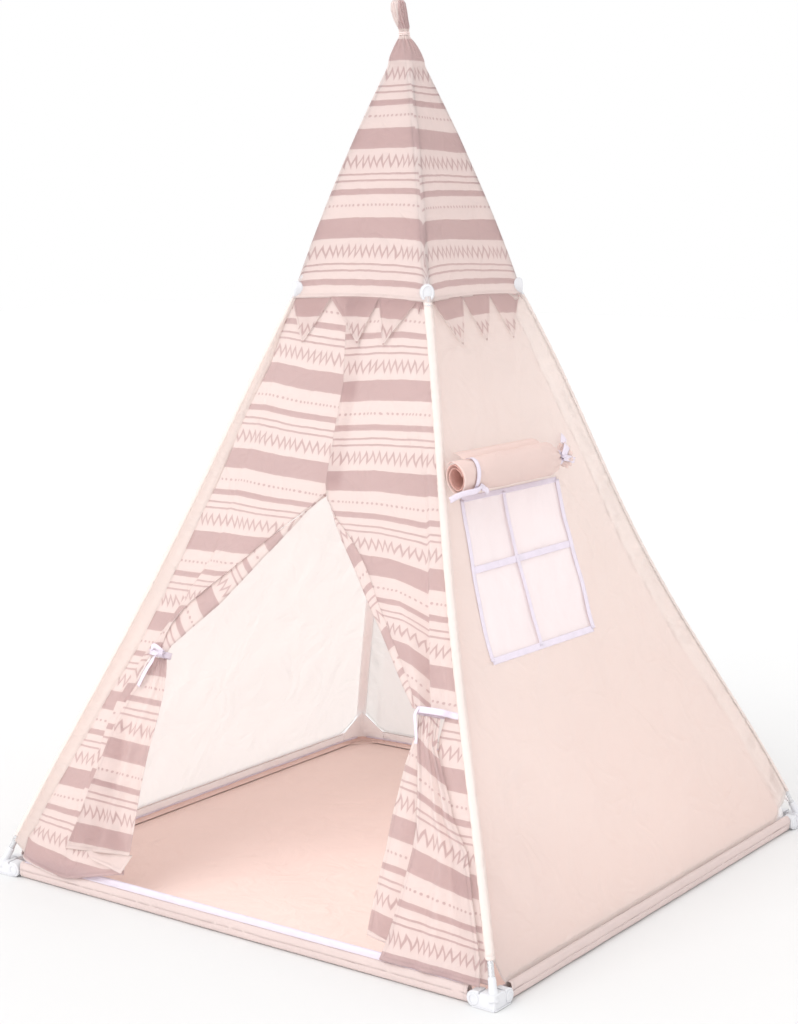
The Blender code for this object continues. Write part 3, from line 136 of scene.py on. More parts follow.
floor_paint = bpy.data.materials.new("studio_floor")
floor_paint.use_nodes = True
paint = floor_paint.node_tree
paint.nodes.clear()
tone = add(paint, "ShaderNodeMix", {0: seen_directly(paint), 2: FLOOR_WHITE, 3: FLOOR_SEEN},
           data_type="FLOAT")
matt = add(paint, "ShaderNodeBsdfDiffuse", {"Color": tone.outputs[0]})
add(paint, "ShaderNodeOutputMaterial", {"Surface": matt.outputs[0]})
floor_mesh = bpy.data.meshes.new("studio_floor")
floor_corners = [(x * FLOOR_REACH, y * FLOOR_REACH, 0)
                 for x, y in ((-1, -1), (1, -1), (1, 1), (-1, 1))]
floor_mesh.from_pydata(floor_corners, [], [(0, 1, 2, 3)])
floor_mesh.materials.append(floor_paint)
studio_floor = bpy.data.objects.new("studio_floor", floor_mesh)
into_scene(studio_floor)


# Legs and faces
# The lines that the leg tubes follow, from the base connectors to the mid joints and on to the peak,
# and the four leaning faces between them, on which all the cloth lies.
BASE_HALF = 0.530
MID_HALF = 0.139
FOOT_Z = 0.026
MID_Z = 1.045
PEAK_Z = 1.481
SOCKET_STRAIGHT = 0.045
LEG_BOWS = {"front_left": 0.007, "front_right": 0.037, "rear_right": 0.019, "rear_left": 0.019}
CAP_BOW = 0.007
NORMAL_STEP = 0.004
UP = np.array([0, 0, 1.0])
CORNERS = {"front_left": (-1, -1), "front_right": (1, -1), "rear_right": (1, 1),
           "rear_left": (-1, 1)}
FACES = {
    "front": ("front_left", "front_right", np.array([1.0, 0, 0])),
    "right": ("front_right", "rear_right", np.array([0, 1.0, 0])),
    "rear": ("rear_right", "rear_left", np.array([-1.0, 0, 0])),
    "left": ("rear_left", "front_left", np.array([0, -1.0, 0])),
}


def leg_axis(corner, z):
    """A leg's axis at heights z: half the square's side falls in a straight line from foot to mid
    joint and from mid joint to peak, less a sine-squared bow below, plus a parabola above."""
    z = np.asarray(z, float)
    along = (z - FOOT_Z) / (MID_Z - FOOT_Z)
    bent = np.clip((z - FOOT_Z - SOCKET_STRAIGHT) / (MID_Z - FOOT_Z - 2 * SOCKET_STRAIGHT), 0, 1)
    low = BASE_HALF + (MID_HALF - BASE_HALF) * along - LEG_BOWS[corner] * np.sin(np.pi * bent) ** 2
    up = np.clip((z - MID_Z) / (PEAK_Z - MID_Z), 0, 1)
    high = MID_HALF * (1 - up) + CAP_BOW * 4 * up * (1 - up)
    half = np.where(z < MID_Z, low, high)
    sign_x, sign_y = CORNERS[corner]
    return np.stack([sign_x * half, sign_y * half, z], -1)


def on_face(face, across, z, out=0.0):
    """Points of a face: on the straight line between its two legs at height z, 'across' from the
    face's middle, then moved out along the face's normal."""
    across, z, out = np.broadcast_arrays(np.asarray(across, float), z, out)
    first, second, along = FACES[face]

    def flat(height):
        start = leg_axis(first, height)
        end = leg_axis(second, height)
        share = (across - start @ along) / ((end - start) @ along)
        return start + (end - start) * share[..., None]

    run = leg_axis(second, z) - leg_axis(first, z)
    normal = np.cross(run, flat(z + NORMAL_STEP) - flat(z - NORMAL_STEP))
    normal /= np.linalg.norm(normal, axis=-1, keepdims=True)
    return flat(z) + normal * out[..., None]


def away_from(face):
    """Level direction out of the tent, square to a face's base line."""
    return np.cross(FACES[face][2], UP)


def leg_place(face, which, z):
    """How far from the face's middle its first (0) or second (1) leg's axis is at height z."""
    return leg_axis(FACES[face][which], z) @ FACES[face][2]


# Tubes
# Steel tube of 10 mm, coated shiny white: four on the ground, four long and four short leg tubes.
# Almost all of it is hidden in cloth channels; it shows bare for 25 mm above each base connector.
TUBE_RADIUS = 0.005
TUBE_END_Z = 1.416


def new_material(name):
    """A material with nodes: the material itself, its node tree and its shader."""
    material = bpy.data.materials.new(name)
    material.use_nodes = True
    return material, material.node_tree, material.node_tree.nodes["Principled BSDF"]


def coated_steel():
    """Glossy white coating, clouded by a noise that also makes it duller in spots."""
    material, tree, shader = new_material("coated_steel")
    shader.inputs["Coat Weight"].default_value = 0.5
    shader.inputs["Coat Roughness"].default_value = 0.08
    place = add(tree, "ShaderNodeTexCoord").outputs["Object"]
    spots = add(tree, "ShaderNodeTexNoise", {"Vector": place, "Scale": 220.0, "Detail": 3.0})
    rough = add(tree, "ShaderNodeMapRange", {0: spots.outputs[0], 1: 0.3, 2: 0.7, 3: 0.16, 4: 0.34})
    tone = add(tree, "ShaderNodeMix", {0: spots.outputs[0], 6: (0.56, 0.56, 0.58, 1),
                                       7: (0.66, 0.66, 0.67, 1)}, data_type="RGBA")
    bump = add(tree, "ShaderNodeBump",
               {"Height": spots.outputs[0], "Strength": 0.2, "Distance": 0.0001})
    shader.inputs["Metallic"].default_value = 0.35
    tree.links.new(tone.outputs[2], shader.inputs["Base Color"])
    tree.links.new(rough.outputs[0], shader.inputs["Roughness"])
    tree.links.new(bump.outputs[0], shader.inputs["Normal"])
    return material


def ring_faces(count, sides):
    """Faces of a stack of rings: quads from each ring to the next, and the two ends filled."""
    index = np.arange(count * sides).reshape(count, sides)
    after = np.roll(index, -1, axis=1)
    quads = np.stack([index[:-1], after[:-1], after[1:], index[1:]], -1).reshape(-1, 4)
    return quads.tolist() + [index[0][::-1].tolist(), index[-1].tolist()]


def tube_mesh(name, line, radius, sides=20):
    """A closed tube along a line of points: at each point a ring of the given radius, square to the
    line, turned from a fixed side so that it doesn't twist; the ends are filled."""
    line = np.asarray(line, float)
    radius = np.broadcast_to(radius, len(line))
    forward = np.gradient(line, axis=0)
    forward /= np.linalg.norm(forward, axis=1, keepdims=True)
    side = np.cross(forward, [0.3, 0.9, 0.1])
    side /= np.linalg.norm(side, axis=1, keepdims=True)
    up = np.cross(forward, side)
    turn = np.arange(sides) * 2 * np.pi / sides
    rings = side[:, None] * np.cos(turn)[:, None] + up[:, None] * np.sin(turn)[:, None]
    points = line[:, None] + rings * radius[:, None, None]
    mesh = bpy.data.meshes.new(name)
    mesh.from_pydata(points.reshape(-1, 3).tolist(), [], ring_faces(len(line), sides))
    mesh.shade_smooth()
    return mesh


def firm_piece(name, meshes, material, node):
    """A solid piece on the tent, joined from one or more meshes, in the place of its node."""
    work = bmesh.new()
    for mesh in meshes:
        work.from_mesh(mesh)
    joined = bpy.data.meshes.new(name)
    work.to_mesh(joined)
    work.free()
    joined.materials.append(material)
    piece = bpy.data.objects.new(name, joined)
    into_scene(piece)
    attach(piece, "tent")
    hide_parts(node)


steel = coated_steel()
for face in FACES:
    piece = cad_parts[f"base_tube_{face}"]
    piece.data.materials.clear()
    piece.data.materials.append(steel)
for corner in CORNERS:
    for part in ("lower", "upper"):
        heights = [place[2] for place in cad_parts[f"{part}_leg_tube_{corner}"].bound_box]
        line = leg_axis(corner, np.linspace(min(heights), min(max(heights), TUBE_END_Z), 90))
        firm_piece(f"{part}_leg_{corner}", [tube_mesh("leg", line, TUBE_RADIUS)], steel,
                   f"{part}_leg_tube_{corner}")


# Plastic connectors
# Injection-moulded white plastic: a corner piece on the ground with two level sockets and a leaning
# one, a knuckle where the legs bend, and a hub inside the peak.
def moulded_plastic():
    """Satin white plastic: a fine spark-eroded grain, and a trace of grey dirt in soft random
    clouds.
    """
    material, tree, shader = new_material("moulded_plastic")
    shader.inputs["Coat Weight"].default_value = 0.25
    shader.inputs["Coat Roughness"].default_value = 0.2
    place = add(tree, "ShaderNodeTexCoord").outputs["Object"]
    grain = add(tree, "ShaderNodeTexNoise", {"Vector": place, "Scale": 1400.0, "Detail": 2.0})
    cloud = add(tree, "ShaderNodeTexNoise", {"Vector": place, "Scale": 60.0, "Detail": 3.0})
    tone = add(tree, "ShaderNodeMix", {0: cloud.outputs[0], 6: (0.62, 0.62, 0.65, 1),
                                       7: (0.70, 0.70, 0.72, 1)}, data_type="RGBA")
    rough = add(tree, "ShaderNodeMapRange", {0: grain.outputs[0], 1: 0.3, 2: 0.7, 3: 0.30, 4: 0.44})
    bump = add(tree, "ShaderNodeBump",
               {"Height": grain.outputs[0], "Strength": 0.25, "Distance": 0.0001})
    tree.links.new(tone.outputs[2], shader.inputs["Base Color"])
    tree.links.new(rough.outputs[0], shader.inputs["Roughness"])
    tree.links.new(bump.outputs[0], shader.inputs["Normal"])
    return material


def lofted(name, rings):
    """A closed solid through a stack of rings with equally many points each, its two ends filled."""
    rings = np.asarray(rings, float)
    mesh = bpy.data.meshes.new(name)
    mesh.from_pydata(rings.reshape(-1, 3).tolist(), [], ring_faces(*rings.shape[:2]))
    work = bmesh.new()
    work.from_mesh(mesh)
    bmesh.ops.recalc_face_normals(work, faces=work.faces)
    work.to_mesh(mesh)
    work.free()
    mesh.shade_smooth()
    mesh.set_sharp_from_angle(angle=math.radians(40))
    return mesh


def plate(name, outline, centre, side, up, away, layers):
    """A moulded plate: its outline, in directions side and up, is stacked along the direction away;
    each layer gives how far along and how far the outline is drawn in."""
    outline = np.asarray(outline, float)
    middle = outline.mean(axis=0)
    reach = np.linalg.norm(outline - middle, axis=1, keepdims=True)
    rings = []
    for along, drawn_in in layers:
        flat = middle + (outline - middle) * (1 - drawn_in / np.maximum(reach, drawn_in + 1e-6))
        rings.append(centre + flat[:, :1] * side + flat[:, 1:] * up + along * away)
    return lofted(name, rings)


plastic = moulded_plastic()
ARM_LONG = 0.0420
ARM_HALF = 0.0105
ARM_TALL = 0.0260
ARM_BACK = 0.0097
ARM_CHAMFER = 0.0012
NOSE_RADIUS = 0.013
NOTCH_DEEP = 0.004
SECOND_ARM_TRIM = 0.0004
BOSS_RADIUS = 0.0095
RIB_END = 0.030
RIB_LOW, RIB_HIGH = 0.0006, 0.0026
SOCKET_LOW, SOCKET_HIGH = 0.012, 0.046
KNUCKLE_HALF_WIDE, KNUCKLE_HALF_TALL = 0.0125, 0.0155
KNUCKLE_SOCKET_LONG = 0.024
KNUCKLE_SOCKET_RADIUS = 0.0064
HUB_LOW, HUB_HIGH = 1.400, 1.417
HUB_RADIUS = 0.016
HUB_SOCKET_LOW, HUB_SOCKET_HIGH = 1.396, 1.4175
HUB_SOCKET_RADIUS = 0.0056
turn = np.linspace(0, 2 * np.pi, 40, endpoint=False)
circle = np.stack([np.cos(turn), np.sin(turn)], -1)


def level_arm(foot, side, away, trim):
    """One level arm of a base connector: a bar with a round nose and a notch on top, a round boss
    on its outer side and a rib along its foot. The second arm of a corner is drawn in by a trim, so
    that no face of it lies in a face of the first."""
    bend = np.linspace(-np.pi / 2, np.pi / 2, 22)
    nose = np.stack([ARM_LONG - NOSE_RADIUS + NOSE_RADIUS * np.cos(bend),
                     NOSE_RADIUS + NOSE_RADIUS * np.sin(bend)], -1)
    notch = [(0.020, ARM_TALL), (0.0195, ARM_TALL - NOTCH_DEEP), (0.0165, ARM_TALL - NOTCH_DEEP),
             (0.0160, ARM_TALL)]
    back = [(-0.0078, ARM_TALL), (-ARM_BACK - trim, ARM_TALL - 0.002), (-ARM_BACK - trim, 0.002),
            (-0.0078, 0.0)]
    outline = np.concatenate([nose, notch, back]) * (1, 1 - 2 * trim / ARM_TALL) + (0, trim)
    half = ARM_HALF - trim
    layers = [(-half, ARM_CHAMFER), (-half + ARM_CHAMFER, 0.0), (half - ARM_CHAMFER, 0.0),
              (half, ARM_CHAMFER)]
    bar = plate("arm", outline, foot, side, UP, away, layers)
    disc = circle * BOSS_RADIUS + (ARM_LONG - NOSE_RADIUS, NOSE_RADIUS)
    layers = [(0.0, 0.0), (ARM_HALF + 0.0008, 0.0), (ARM_HALF + 0.0015, 0.0010),
              (ARM_HALF + 0.0014, 0.0024), (ARM_HALF + 0.0004, 0.0028), (ARM_HALF + 0.0004, 0.0070)]
    boss = plate("boss", disc, foot, side, UP, away, layers)
    strip = np.array([(-0.0090, RIB_LOW), (RIB_END, RIB_LOW), (RIB_END, RIB_HIGH),
                      (-0.0090, RIB_HIGH)]) + (0, trim)
    rib = plate("rib", strip, foot, side, UP, away, [(0.0, 0.0), (ARM_HALF + 0.0012, 0.0)])
    return [bar, boss, rib]


def knuckle(corner):
    """The mid joint: an oval button that faces outwards at the corner, with a ring pressed into it,
    on two short sockets along the leg."""
    sign_x, sign_y = CORNERS[corner]
    outwards = np.array([sign_x, sign_y, 0.0]) / math.sqrt(2)
    oval = circle * (KNUCKLE_HALF_WIDE, KNUCKLE_HALF_TALL)
    layers = [(-0.0100, 0.0050), (-0.0085, 0.0010), (0.0050, 0.0), (0.0085, 0.0006),
              (0.0104, 0.0022), (0.0108, 0.0034), (0.0100, 0.0046), (0.0094, 0.0054),
              (0.0100, 0.0090)]
    button = plate("knuckle", oval, leg_axis(corner, MID_Z), np.cross(UP, outwards), UP, outwards,
                   layers)
    heights = np.linspace(MID_Z - KNUCKLE_SOCKET_LONG, MID_Z + KNUCKLE_SOCKET_LONG, 24)
    return [button, tube_mesh("sockets", leg_axis(corner, heights), KNUCKLE_SOCKET_RADIUS, 20)]


for corner, (sign_x, sign_y) in CORNERS.items():
    foot = np.array([sign_x * BASE_HALF, sign_y * BASE_HALF, 0.0])
    along_x, along_y = np.array([sign_x, 0, 0.0]), np.array([0, sign_y, 0.0])
    heights = np.linspace(SOCKET_LOW, SOCKET_HIGH, 14)
    width = np.interp(heights, (SOCKET_LOW, 0.027, 0.029, 0.044, SOCKET_HIGH),
                      (0.0078, 0.0078, 0.0068, 0.0064, 0.0060))
    parts = [*level_arm(foot, -along_x, along_y, 0.0),
             *level_arm(foot, -along_y, along_x, SECOND_ARM_TRIM),
             tube_mesh("socket", leg_axis(corner, heights), width, 24)]
    firm_piece(f"base_corner_{corner}", parts, plastic, f"base_connector_{corner}")
    firm_piece(f"mid_joint_{corner}", knuckle(corner), plastic,
               f"mid_connector_{corner}")

heights = np.linspace(HUB_SOCKET_LOW, HUB_SOCKET_HIGH, 12)
parts = [tube_mesh("arm", leg_axis(corner, heights), HUB_SOCKET_RADIUS, 20) for corner in CORNERS]
core = np.array([(0, 0, z) for z in np.linspace(HUB_LOW, HUB_HIGH, 5)])
parts.append(tube_mesh("core", core, HUB_RADIUS, 30))
firm_piece("peak_socket", parts, plastic, "peak_hub")


# Plain cloth: leg channels
# Thin plain-woven polyester in pale peach. A narrow channel of it runs up each leg; the tube is
# pushed through it, so the cloth is drawn together along it in small ruches.
WEAVE_PITCH = 0.0012
CLOTH_THICK = 0.0006
CHANNEL_RADIUS = 0.0068
CHANNEL_FOOT = 0.070
CHANNEL_TOP = 1.0300
RUCHE_PITCH = 0.017
RUCHE_DEPTH = 0.0004
SEAM_WELD = 0.00002


def group_of(name, inputs, outputs):
    """An empty shader node group with its sockets; each socket is a name and a kind."""
    tree = bpy.data.node_groups.new(name, "ShaderNodeTree")
    for direction, sockets in (("INPUT", inputs), ("OUTPUT", outputs)):
        for socket_name, kind in sockets:
            tree.interface.new_socket(socket_name, in_out=direction, socket_type=kind)
    return tree, tree.nodes.new("NodeGroupInput"), tree.nodes.new("NodeGroupOutput")


def maths(tree, operation, first, second=0.0, third=0.0, clamp=False):
    """One sum on values or sockets; the result's socket."""
    made = add(tree, "ShaderNodeMath", {0: first, 1: second, 2: third}, operation=operation,
               use_clamp=clamp)
    return made.outputs[0]


def make_weave_group():
    """Woven cloth: crossed threads as a product of two sine waves of the cloth's own coordinates,
    creases from a folded noise, a sewn hem beside each edge, and a soft change of tone."""
    tree, inside, outside = group_of(
        "woven_cloth",
        [("Cloth", "NodeSocketVector"), ("Place", "NodeSocketVector"), ("Edge", "NodeSocketFloat"),
         ("Crease", "NodeSocketFloat")],
        [("Height", "NodeSocketFloat"), ("Tone", "NodeSocketFloat"), ("Stitch", "NodeSocketFloat")],
    )
    cloth = add(tree, "ShaderNodeSeparateXYZ", {0: inside.outputs["Cloth"]})
    turns = 2 * math.pi / WEAVE_PITCH
    warp = maths(tree, "SINE", maths(tree, "MULTIPLY", cloth.outputs[0], turns))
    weft = maths(tree, "SINE", maths(tree, "MULTIPLY", cloth.outputs[1], turns))
    threads = maths(tree, "MULTIPLY", maths(tree, "MULTIPLY", warp, weft), 0.00006)
    wide = add(tree, "ShaderNodeTexNoise", {"Vector": inside.outputs["Place"], "Scale": 11.0,
                                            "Detail": 3.0, "Roughness": 0.45, "Distortion": 0.8})
    fold = maths(tree, "ABSOLUTE", maths(tree, "SUBTRACT", wide.outputs[0], 0.5))
    crease = maths(tree, "MULTIPLY", maths(tree, "MULTIPLY", fold, -0.010),
                   inside.outputs["Crease"])
    edge = inside.outputs["Edge"]
    hem = maths(tree, "MULTIPLY", maths(tree, "MULTIPLY_ADD", edge, -1600.0, 13.0, clamp=True),
                0.0004)
    line = maths(tree, "ABSOLUTE", maths(tree, "SUBTRACT", edge, 0.0062))
    on_line = maths(tree, "MULTIPLY_ADD", line, -2500.0, 1.6, clamp=True)
    run = maths(tree, "ADD", cloth.outputs[0], cloth.outputs[1])
    dashes = maths(tree, "PINGPONG", run, 0.0016)
    dash = maths(tree, "MULTIPLY_ADD", dashes, -4000.0, 5.2, clamp=True)
    stitch = maths(tree, "MULTIPLY", on_line, dash)
    height = maths(tree, "ADD", maths(tree, "ADD", threads, crease), hem)
    height = maths(tree, "ADD", height, maths(tree, "MULTIPLY", stitch, -0.0003))
    slow = add(tree, "ShaderNodeTexNoise",
               {"Vector": inside.outputs["Place"], "Scale": 4.0, "Detail": 2.0})
    tone = maths(tree, "MULTIPLY_ADD", slow.outputs[0], 0.10, 0.95)
    tree.links.new(height, outside.inputs["Height"])
    tree.links.new(tone, outside.inputs["Tone"])
    tree.links.new(stitch, outside.inputs["Stitch"])
    return tree


weave_group = make_weave_group()


def show(tree, shader):
    """Makes a shader node the surface of its material."""
    output = next(item for item in tree.nodes if item.type == "OUTPUT_MATERIAL")
    tree.links.new(shader.outputs[0], output.inputs["Surface"])


def cloth_finish(name, colour, through=0.70, crease=1.0, stitch=0.10, print_group=None, ink=None):
    """Matt woven cloth that lets much light through, paler than its own colour; with a print group,
    a second colour is laid on where the group says: printed ink, the mat's turned-up edge, or the
    painted shade of the blind's inner turns."""
    material, tree, shader = new_material(name)
    shader.inputs["Roughness"].default_value = 0.82
    shader.inputs["Sheen Weight"].default_value = 0.10
    shader.inputs["Sheen Roughness"].default_value = 0.5
    place = add(tree, "ShaderNodeTexCoord")
    edge = add(tree, "ShaderNodeAttribute", attribute_name="edge")
    weave = add(tree, "ShaderNodeGroup", {}, node_tree=weave_group)
    tree.links.new(place.outputs["UV"], weave.inputs["Cloth"])
    tree.links.new(place.outputs["Object"], weave.inputs["Place"])
    tree.links.new(edge.outputs["Fac"], weave.inputs["Edge"])
    weave.inputs["Crease"].default_value = crease
    base = add(tree, "ShaderNodeRGB").outputs[0]
    base.default_value = (*colour, 1)
    if print_group is not None:
        printed = add(tree, "ShaderNodeGroup", {"Cloth": place.outputs["UV"]},
                      node_tree=print_group)
        base = add(tree, "ShaderNodeMix", {0: printed.outputs["Ink"], 6: base, 7: (*ink, 1)},
                   data_type="RGBA").outputs[2]
    doubled = add(tree, "ShaderNodeAttribute", attribute_name="doubled")
    base = add(tree, "ShaderNodeMix", {0: doubled.outputs["Fac"], 6: base, 7: (1.0, 0.92, 0.87, 1)},
               data_type="RGBA").outputs[2]
    darker = maths(tree, "MULTIPLY_ADD", weave.outputs["Stitch"], -stitch, 1.0)
    strength = maths(tree, "MULTIPLY", weave.outputs["Tone"], darker)
    toned = add(tree, "ShaderNodeVectorMath", {0: base, 1: strength},
                operation="MULTIPLY").outputs[0]
    bump = add(tree, "ShaderNodeBump", {"Height": weave.outputs["Height"], "Strength": 1.0,
                                        "Distance": 1.0}).outputs[0]
    tree.links.new(toned, shader.inputs["Base Color"])
    tree.links.new(bump, shader.inputs["Normal"])
    paler = add(tree, "ShaderNodeGamma", {"Color": toned, "Gamma": 0.15}).outputs[0]
    glowing = add(tree, "ShaderNodeBsdfTranslucent", {"Color": paler, "Normal": bump})
    mixed = add(tree, "ShaderNodeMixShader",
                {0: through, 1: shader.outputs[0], 2: glowing.outputs[0]})
    show(tree, mixed)
    return material


def to_border(points, hems):
    """Distance over the surface from each grid point to the nearest of the named borders: running
    sums of the steps along rows and columns."""
    across = np.linalg.norm(np.diff(points, axis=1), axis=-1)
    upwards = np.linalg.norm(np.diff(points, axis=0), axis=-1)
    zero_column = np.zeros((points.shape[0], 1))
    zero_row = np.zeros((1, points.shape[1]))
    from_left = np.concatenate([zero_column, np.cumsum(across, axis=1)], axis=1)
    from_bottom = np.concatenate([zero_row, np.cumsum(upwards, axis=0)], axis=0)
    distances = {
        "left": from_left,
        "right": from_left[:, -1:] - from_left,
        "bottom": from_bottom,
        "top": from_bottom[-1:] - from_bottom,
    }
    nearest = np.full(points.shape[:2], 1.0)
    for hem in hems:
        nearest = np.minimum(nearest, distances[hem])
    return nearest


def grid(points, uv, hems=("left", "right", "bottom", "top"), keep=None, doubled=None):
    """One patch of cloth: points and cloth coordinates by row and column, which quads exist, and
    where the cloth is doubled."""
    doubled = np.zeros(points.shape[:2]) if doubled is None else doubled
    return {"points": points, "uv": uv, "edge": to_border(points, hems), "keep": keep,
            "doubled": doubled}


def cloth_mesh(name, patches, merge=0.0):
    """A mesh from patches of points; each quad turns from its column direction to its row direction,
    so that its outer side faces out. Coinciding points are merged where merge is set."""
    corners = []
    quads = []
    coordinates = []
    marks = {"edge": [], "doubled": []}
    count = 0
    for patch in patches:
        rows, columns = patch["points"].shape[:2]
        index = count + np.arange(rows * columns).reshape(rows, columns)
        quad = np.stack([index[:-1, :-1], index[:-1, 1:], index[1:, 1:], index[1:, :-1]], -1)
        if patch["keep"] is not None:
            quad = quad[patch["keep"]]
        corners.append(patch["points"].reshape(-1, 3))
        coordinates.append(patch["uv"].reshape(-1, 2))
        for mark, values in marks.items():
            values.append(patch[mark].reshape(-1))
        quads.append(quad.reshape(-1, 4))
        count += rows * columns
    corners = np.concatenate(corners)
    quads = np.concatenate(quads)
    used, quads = np.unique(quads, return_inverse=True)
    quads = quads.reshape(-1, 4)
    mesh = bpy.data.meshes.new(name)
    mesh.from_pydata(corners[used].tolist(), [], quads.tolist())
    layer = mesh.uv_layers.new(name="cloth")
    layer.data.foreach_set("uv",
                           np.concatenate(coordinates)[used][quads].astype(np.float32).ravel())
    for mark, values in marks.items():
        attribute = mesh.attributes.new(mark, "FLOAT", "POINT")
        attribute.data.foreach_set("value", np.concatenate(values)[used].astype(np.float32))
    if merge:
        work = bmesh.new()
        work.from_mesh(mesh)
        bmesh.ops.remove_doubles(work, verts=work.verts, dist=merge)
        work.to_mesh(mesh)
        work.free()
    mesh.shade_smooth()
    return mesh


def cloth_piece(name, patches, material, body, nodes=(), merge=0.0, thick=CLOTH_THICK):
    """A finished piece of cloth on its body, given a little thickness inwards."""
    mesh = cloth_mesh(name, patches, merge)
    mesh.materials.append(material)
    piece = bpy.data.objects.new(name, mesh)
    into_scene(piece)
    shell = piece.modifiers.new("thickness", "SOLIDIFY")
    shell.thickness = thick
    shell.offset = -1.0
    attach(piece, body)
    if nodes:
        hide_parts(*nodes)
    return piece


def waves(first, second, size, seed, count=7):
    """Soft irregular waves between about -1 and 1: a sum of sine waves over two coordinates, each
    in its own direction, with lengths around the given size."""
    chance = np.random.default_rng(seed)
    total = 0.0
    for turn, length, phase in zip(chance.uniform(0, np.pi, count), chance.uniform(0.6, 1.8, count),
                                   chance.uniform(0, 2 * np.pi, count)):
        run = (first * np.cos(turn) + second * np.sin(turn)) / (size * length)
        total = total + np.sin(2 * np.pi * run + phase)
    return total / np.sqrt(count * 2)


def ruches(z, seed):
    """Small uneven gathers along a channel: a sine wave whose phase wanders."""
    wander = waves(z, 0 * z, 0.13, seed) * 1.6
    gathers = np.sin(2 * np.pi * z / RUCHE_PITCH + wander * 3.0)
    return gathers * (0.6 + 0.4 * waves(z, 0 * z, 0.09, seed + 1))


plain_cloth = cloth_finish("plain_cloth", (0.95, 0.83, 0.78), through=0.82)
leg_cloth = cloth_finish("leg_channel_cloth", (0.93, 0.81, 0.765), through=0.25)
for number, corner in enumerate(CORNERS):
    rows = np.linspace(CHANNEL_FOOT, CHANNEL_TOP, 420)
    angle = np.linspace(0, 2 * np.pi, 21)
    z, turn = np.meshgrid(rows, angle, indexing="ij")
    lumps = RUCHE_DEPTH * (ruches(z, 10 + number) + 0.6 * waves(turn * 0.02, z, 0.02, 30 + number))
    radius = CHANNEL_RADIUS + 0.0006 + lumps
    points = leg_axis(corner, z)
    points[..., 0] += radius * np.cos(turn)
    points[..., 1] += radius * np.sin(turn)
    uv = np.stack([turn * CHANNEL_RADIUS, z], -1)
    channel = cloth_piece(f"leg_channel_{corner}", [grid(points, uv, ("bottom", "top"))], leg_cloth,
                          "tent", [f"leg_sleeve_{corner}"], merge=SEAM_WELD)


# Base channels
# Flattened channels of plain cloth around the tubes on the ground, between the corner connectors,
# with a stitched line along the top where the walls and the floor mat are sewn on.
BASE_CHANNEL_REACH = 0.4870
BASE_CHANNEL_BOTTOM = 0.0015
BASE_CHANNEL_TOP = 0.0290
BASE_CHANNEL_HALF_DEEP = 0.0068

channel_cloth = cloth_finish("channel_cloth", (0.79, 0.65, 0.62), through=0.25)
for number, face in enumerate(FACES):
    run = np.linspace(-BASE_CHANNEL_REACH, BASE_CHANNEL_REACH, 240)
    angle = np.linspace(0, 2 * np.pi, 29)
    across, turn = np.meshgrid(run, -angle, indexing="ij")
    middle = (BASE_CHANNEL_TOP + BASE_CHANNEL_BOTTOM) / 2
    half_tall = (BASE_CHANNEL_TOP - BASE_CHANNEL_BOTTOM) / 2
    slack = 0.0006 * waves(across, turn * 0.03, 0.09, 50 + number) * np.abs(np.cos(turn))
    deep = (BASE_CHANNEL_HALF_DEEP + slack) * np.sign(np.cos(turn)) * np.abs(np.cos(turn)) ** 0.7
    tall = half_tall * np.sign(np.sin(turn)) * np.abs(np.sin(turn)) ** 0.8
    points = FACES[face][2] * across[..., None] + away_from(face) * (BASE_HALF + deep)[..., None]
    points = points + UP * (middle + tall)[..., None]
    uv = np.stack([across, turn * 0.013], -1)
    channel = cloth_piece(f"base_channel_{face}", [grid(points, uv, ("bottom", "top"))],
                          channel_cloth, "tent", [f"base_sleeve_{face}"],
                          merge=SEAM_WELD)


# Walls
# Plain cloth between the leg channels, sewn to the base channels below and to the cap above. Along
# one leg of each wall the cloth is doubled into a wide hem that ends in a stitched line.
WALL_BOTTOM = 0.0295
CORNER_RISE = 0.040
CORNER_REACH = 0.067
SEAM_Z = 1.0285
SEAM_ARCH = 0.006
WIDE_HEM = 0.045
WINDOW_LOW = 0.450
WINDOW_HIGH = 0.706
WINDOW_SIDES = {WINDOW_LOW: (-0.234, 0.073), WINDOW_HIGH: (-0.190, 0.094)}
LEG_GAP = 0.0045
LEG_BLEND = 0.012
ONTO_CHANNEL = 0.0060
ONTO_FRONT_RIGHT = 0.0018
SLANT = 1.07


def seam_line(face, across):
    """Height of the seam between cap and wall: lowest at the legs, with a shallow arch between."""
    half = np.abs(leg_place(face, 1, SEAM_Z))
    return SEAM_Z + SEAM_ARCH * (1 - np.clip(np.abs(across) / half, 0, 1) ** 2)


def hem_puff(distance, z, seed):
    """The wide hem beside a leg: a puff between the leg and its stitched line, drawn into ruches."""
    inside = np.clip(1 - distance / WIDE_HEM, 0, 1)
    swell = np.sin(np.pi * inside) * (distance < WIDE_HEM)
    groove = np.exp(-((distance - WIDE_HEM) / 0.0025) ** 2)
    return swell * (0.0042 + 0.0032 * ruches(z + distance * 0.3, seed)) - 0.0030 * groove


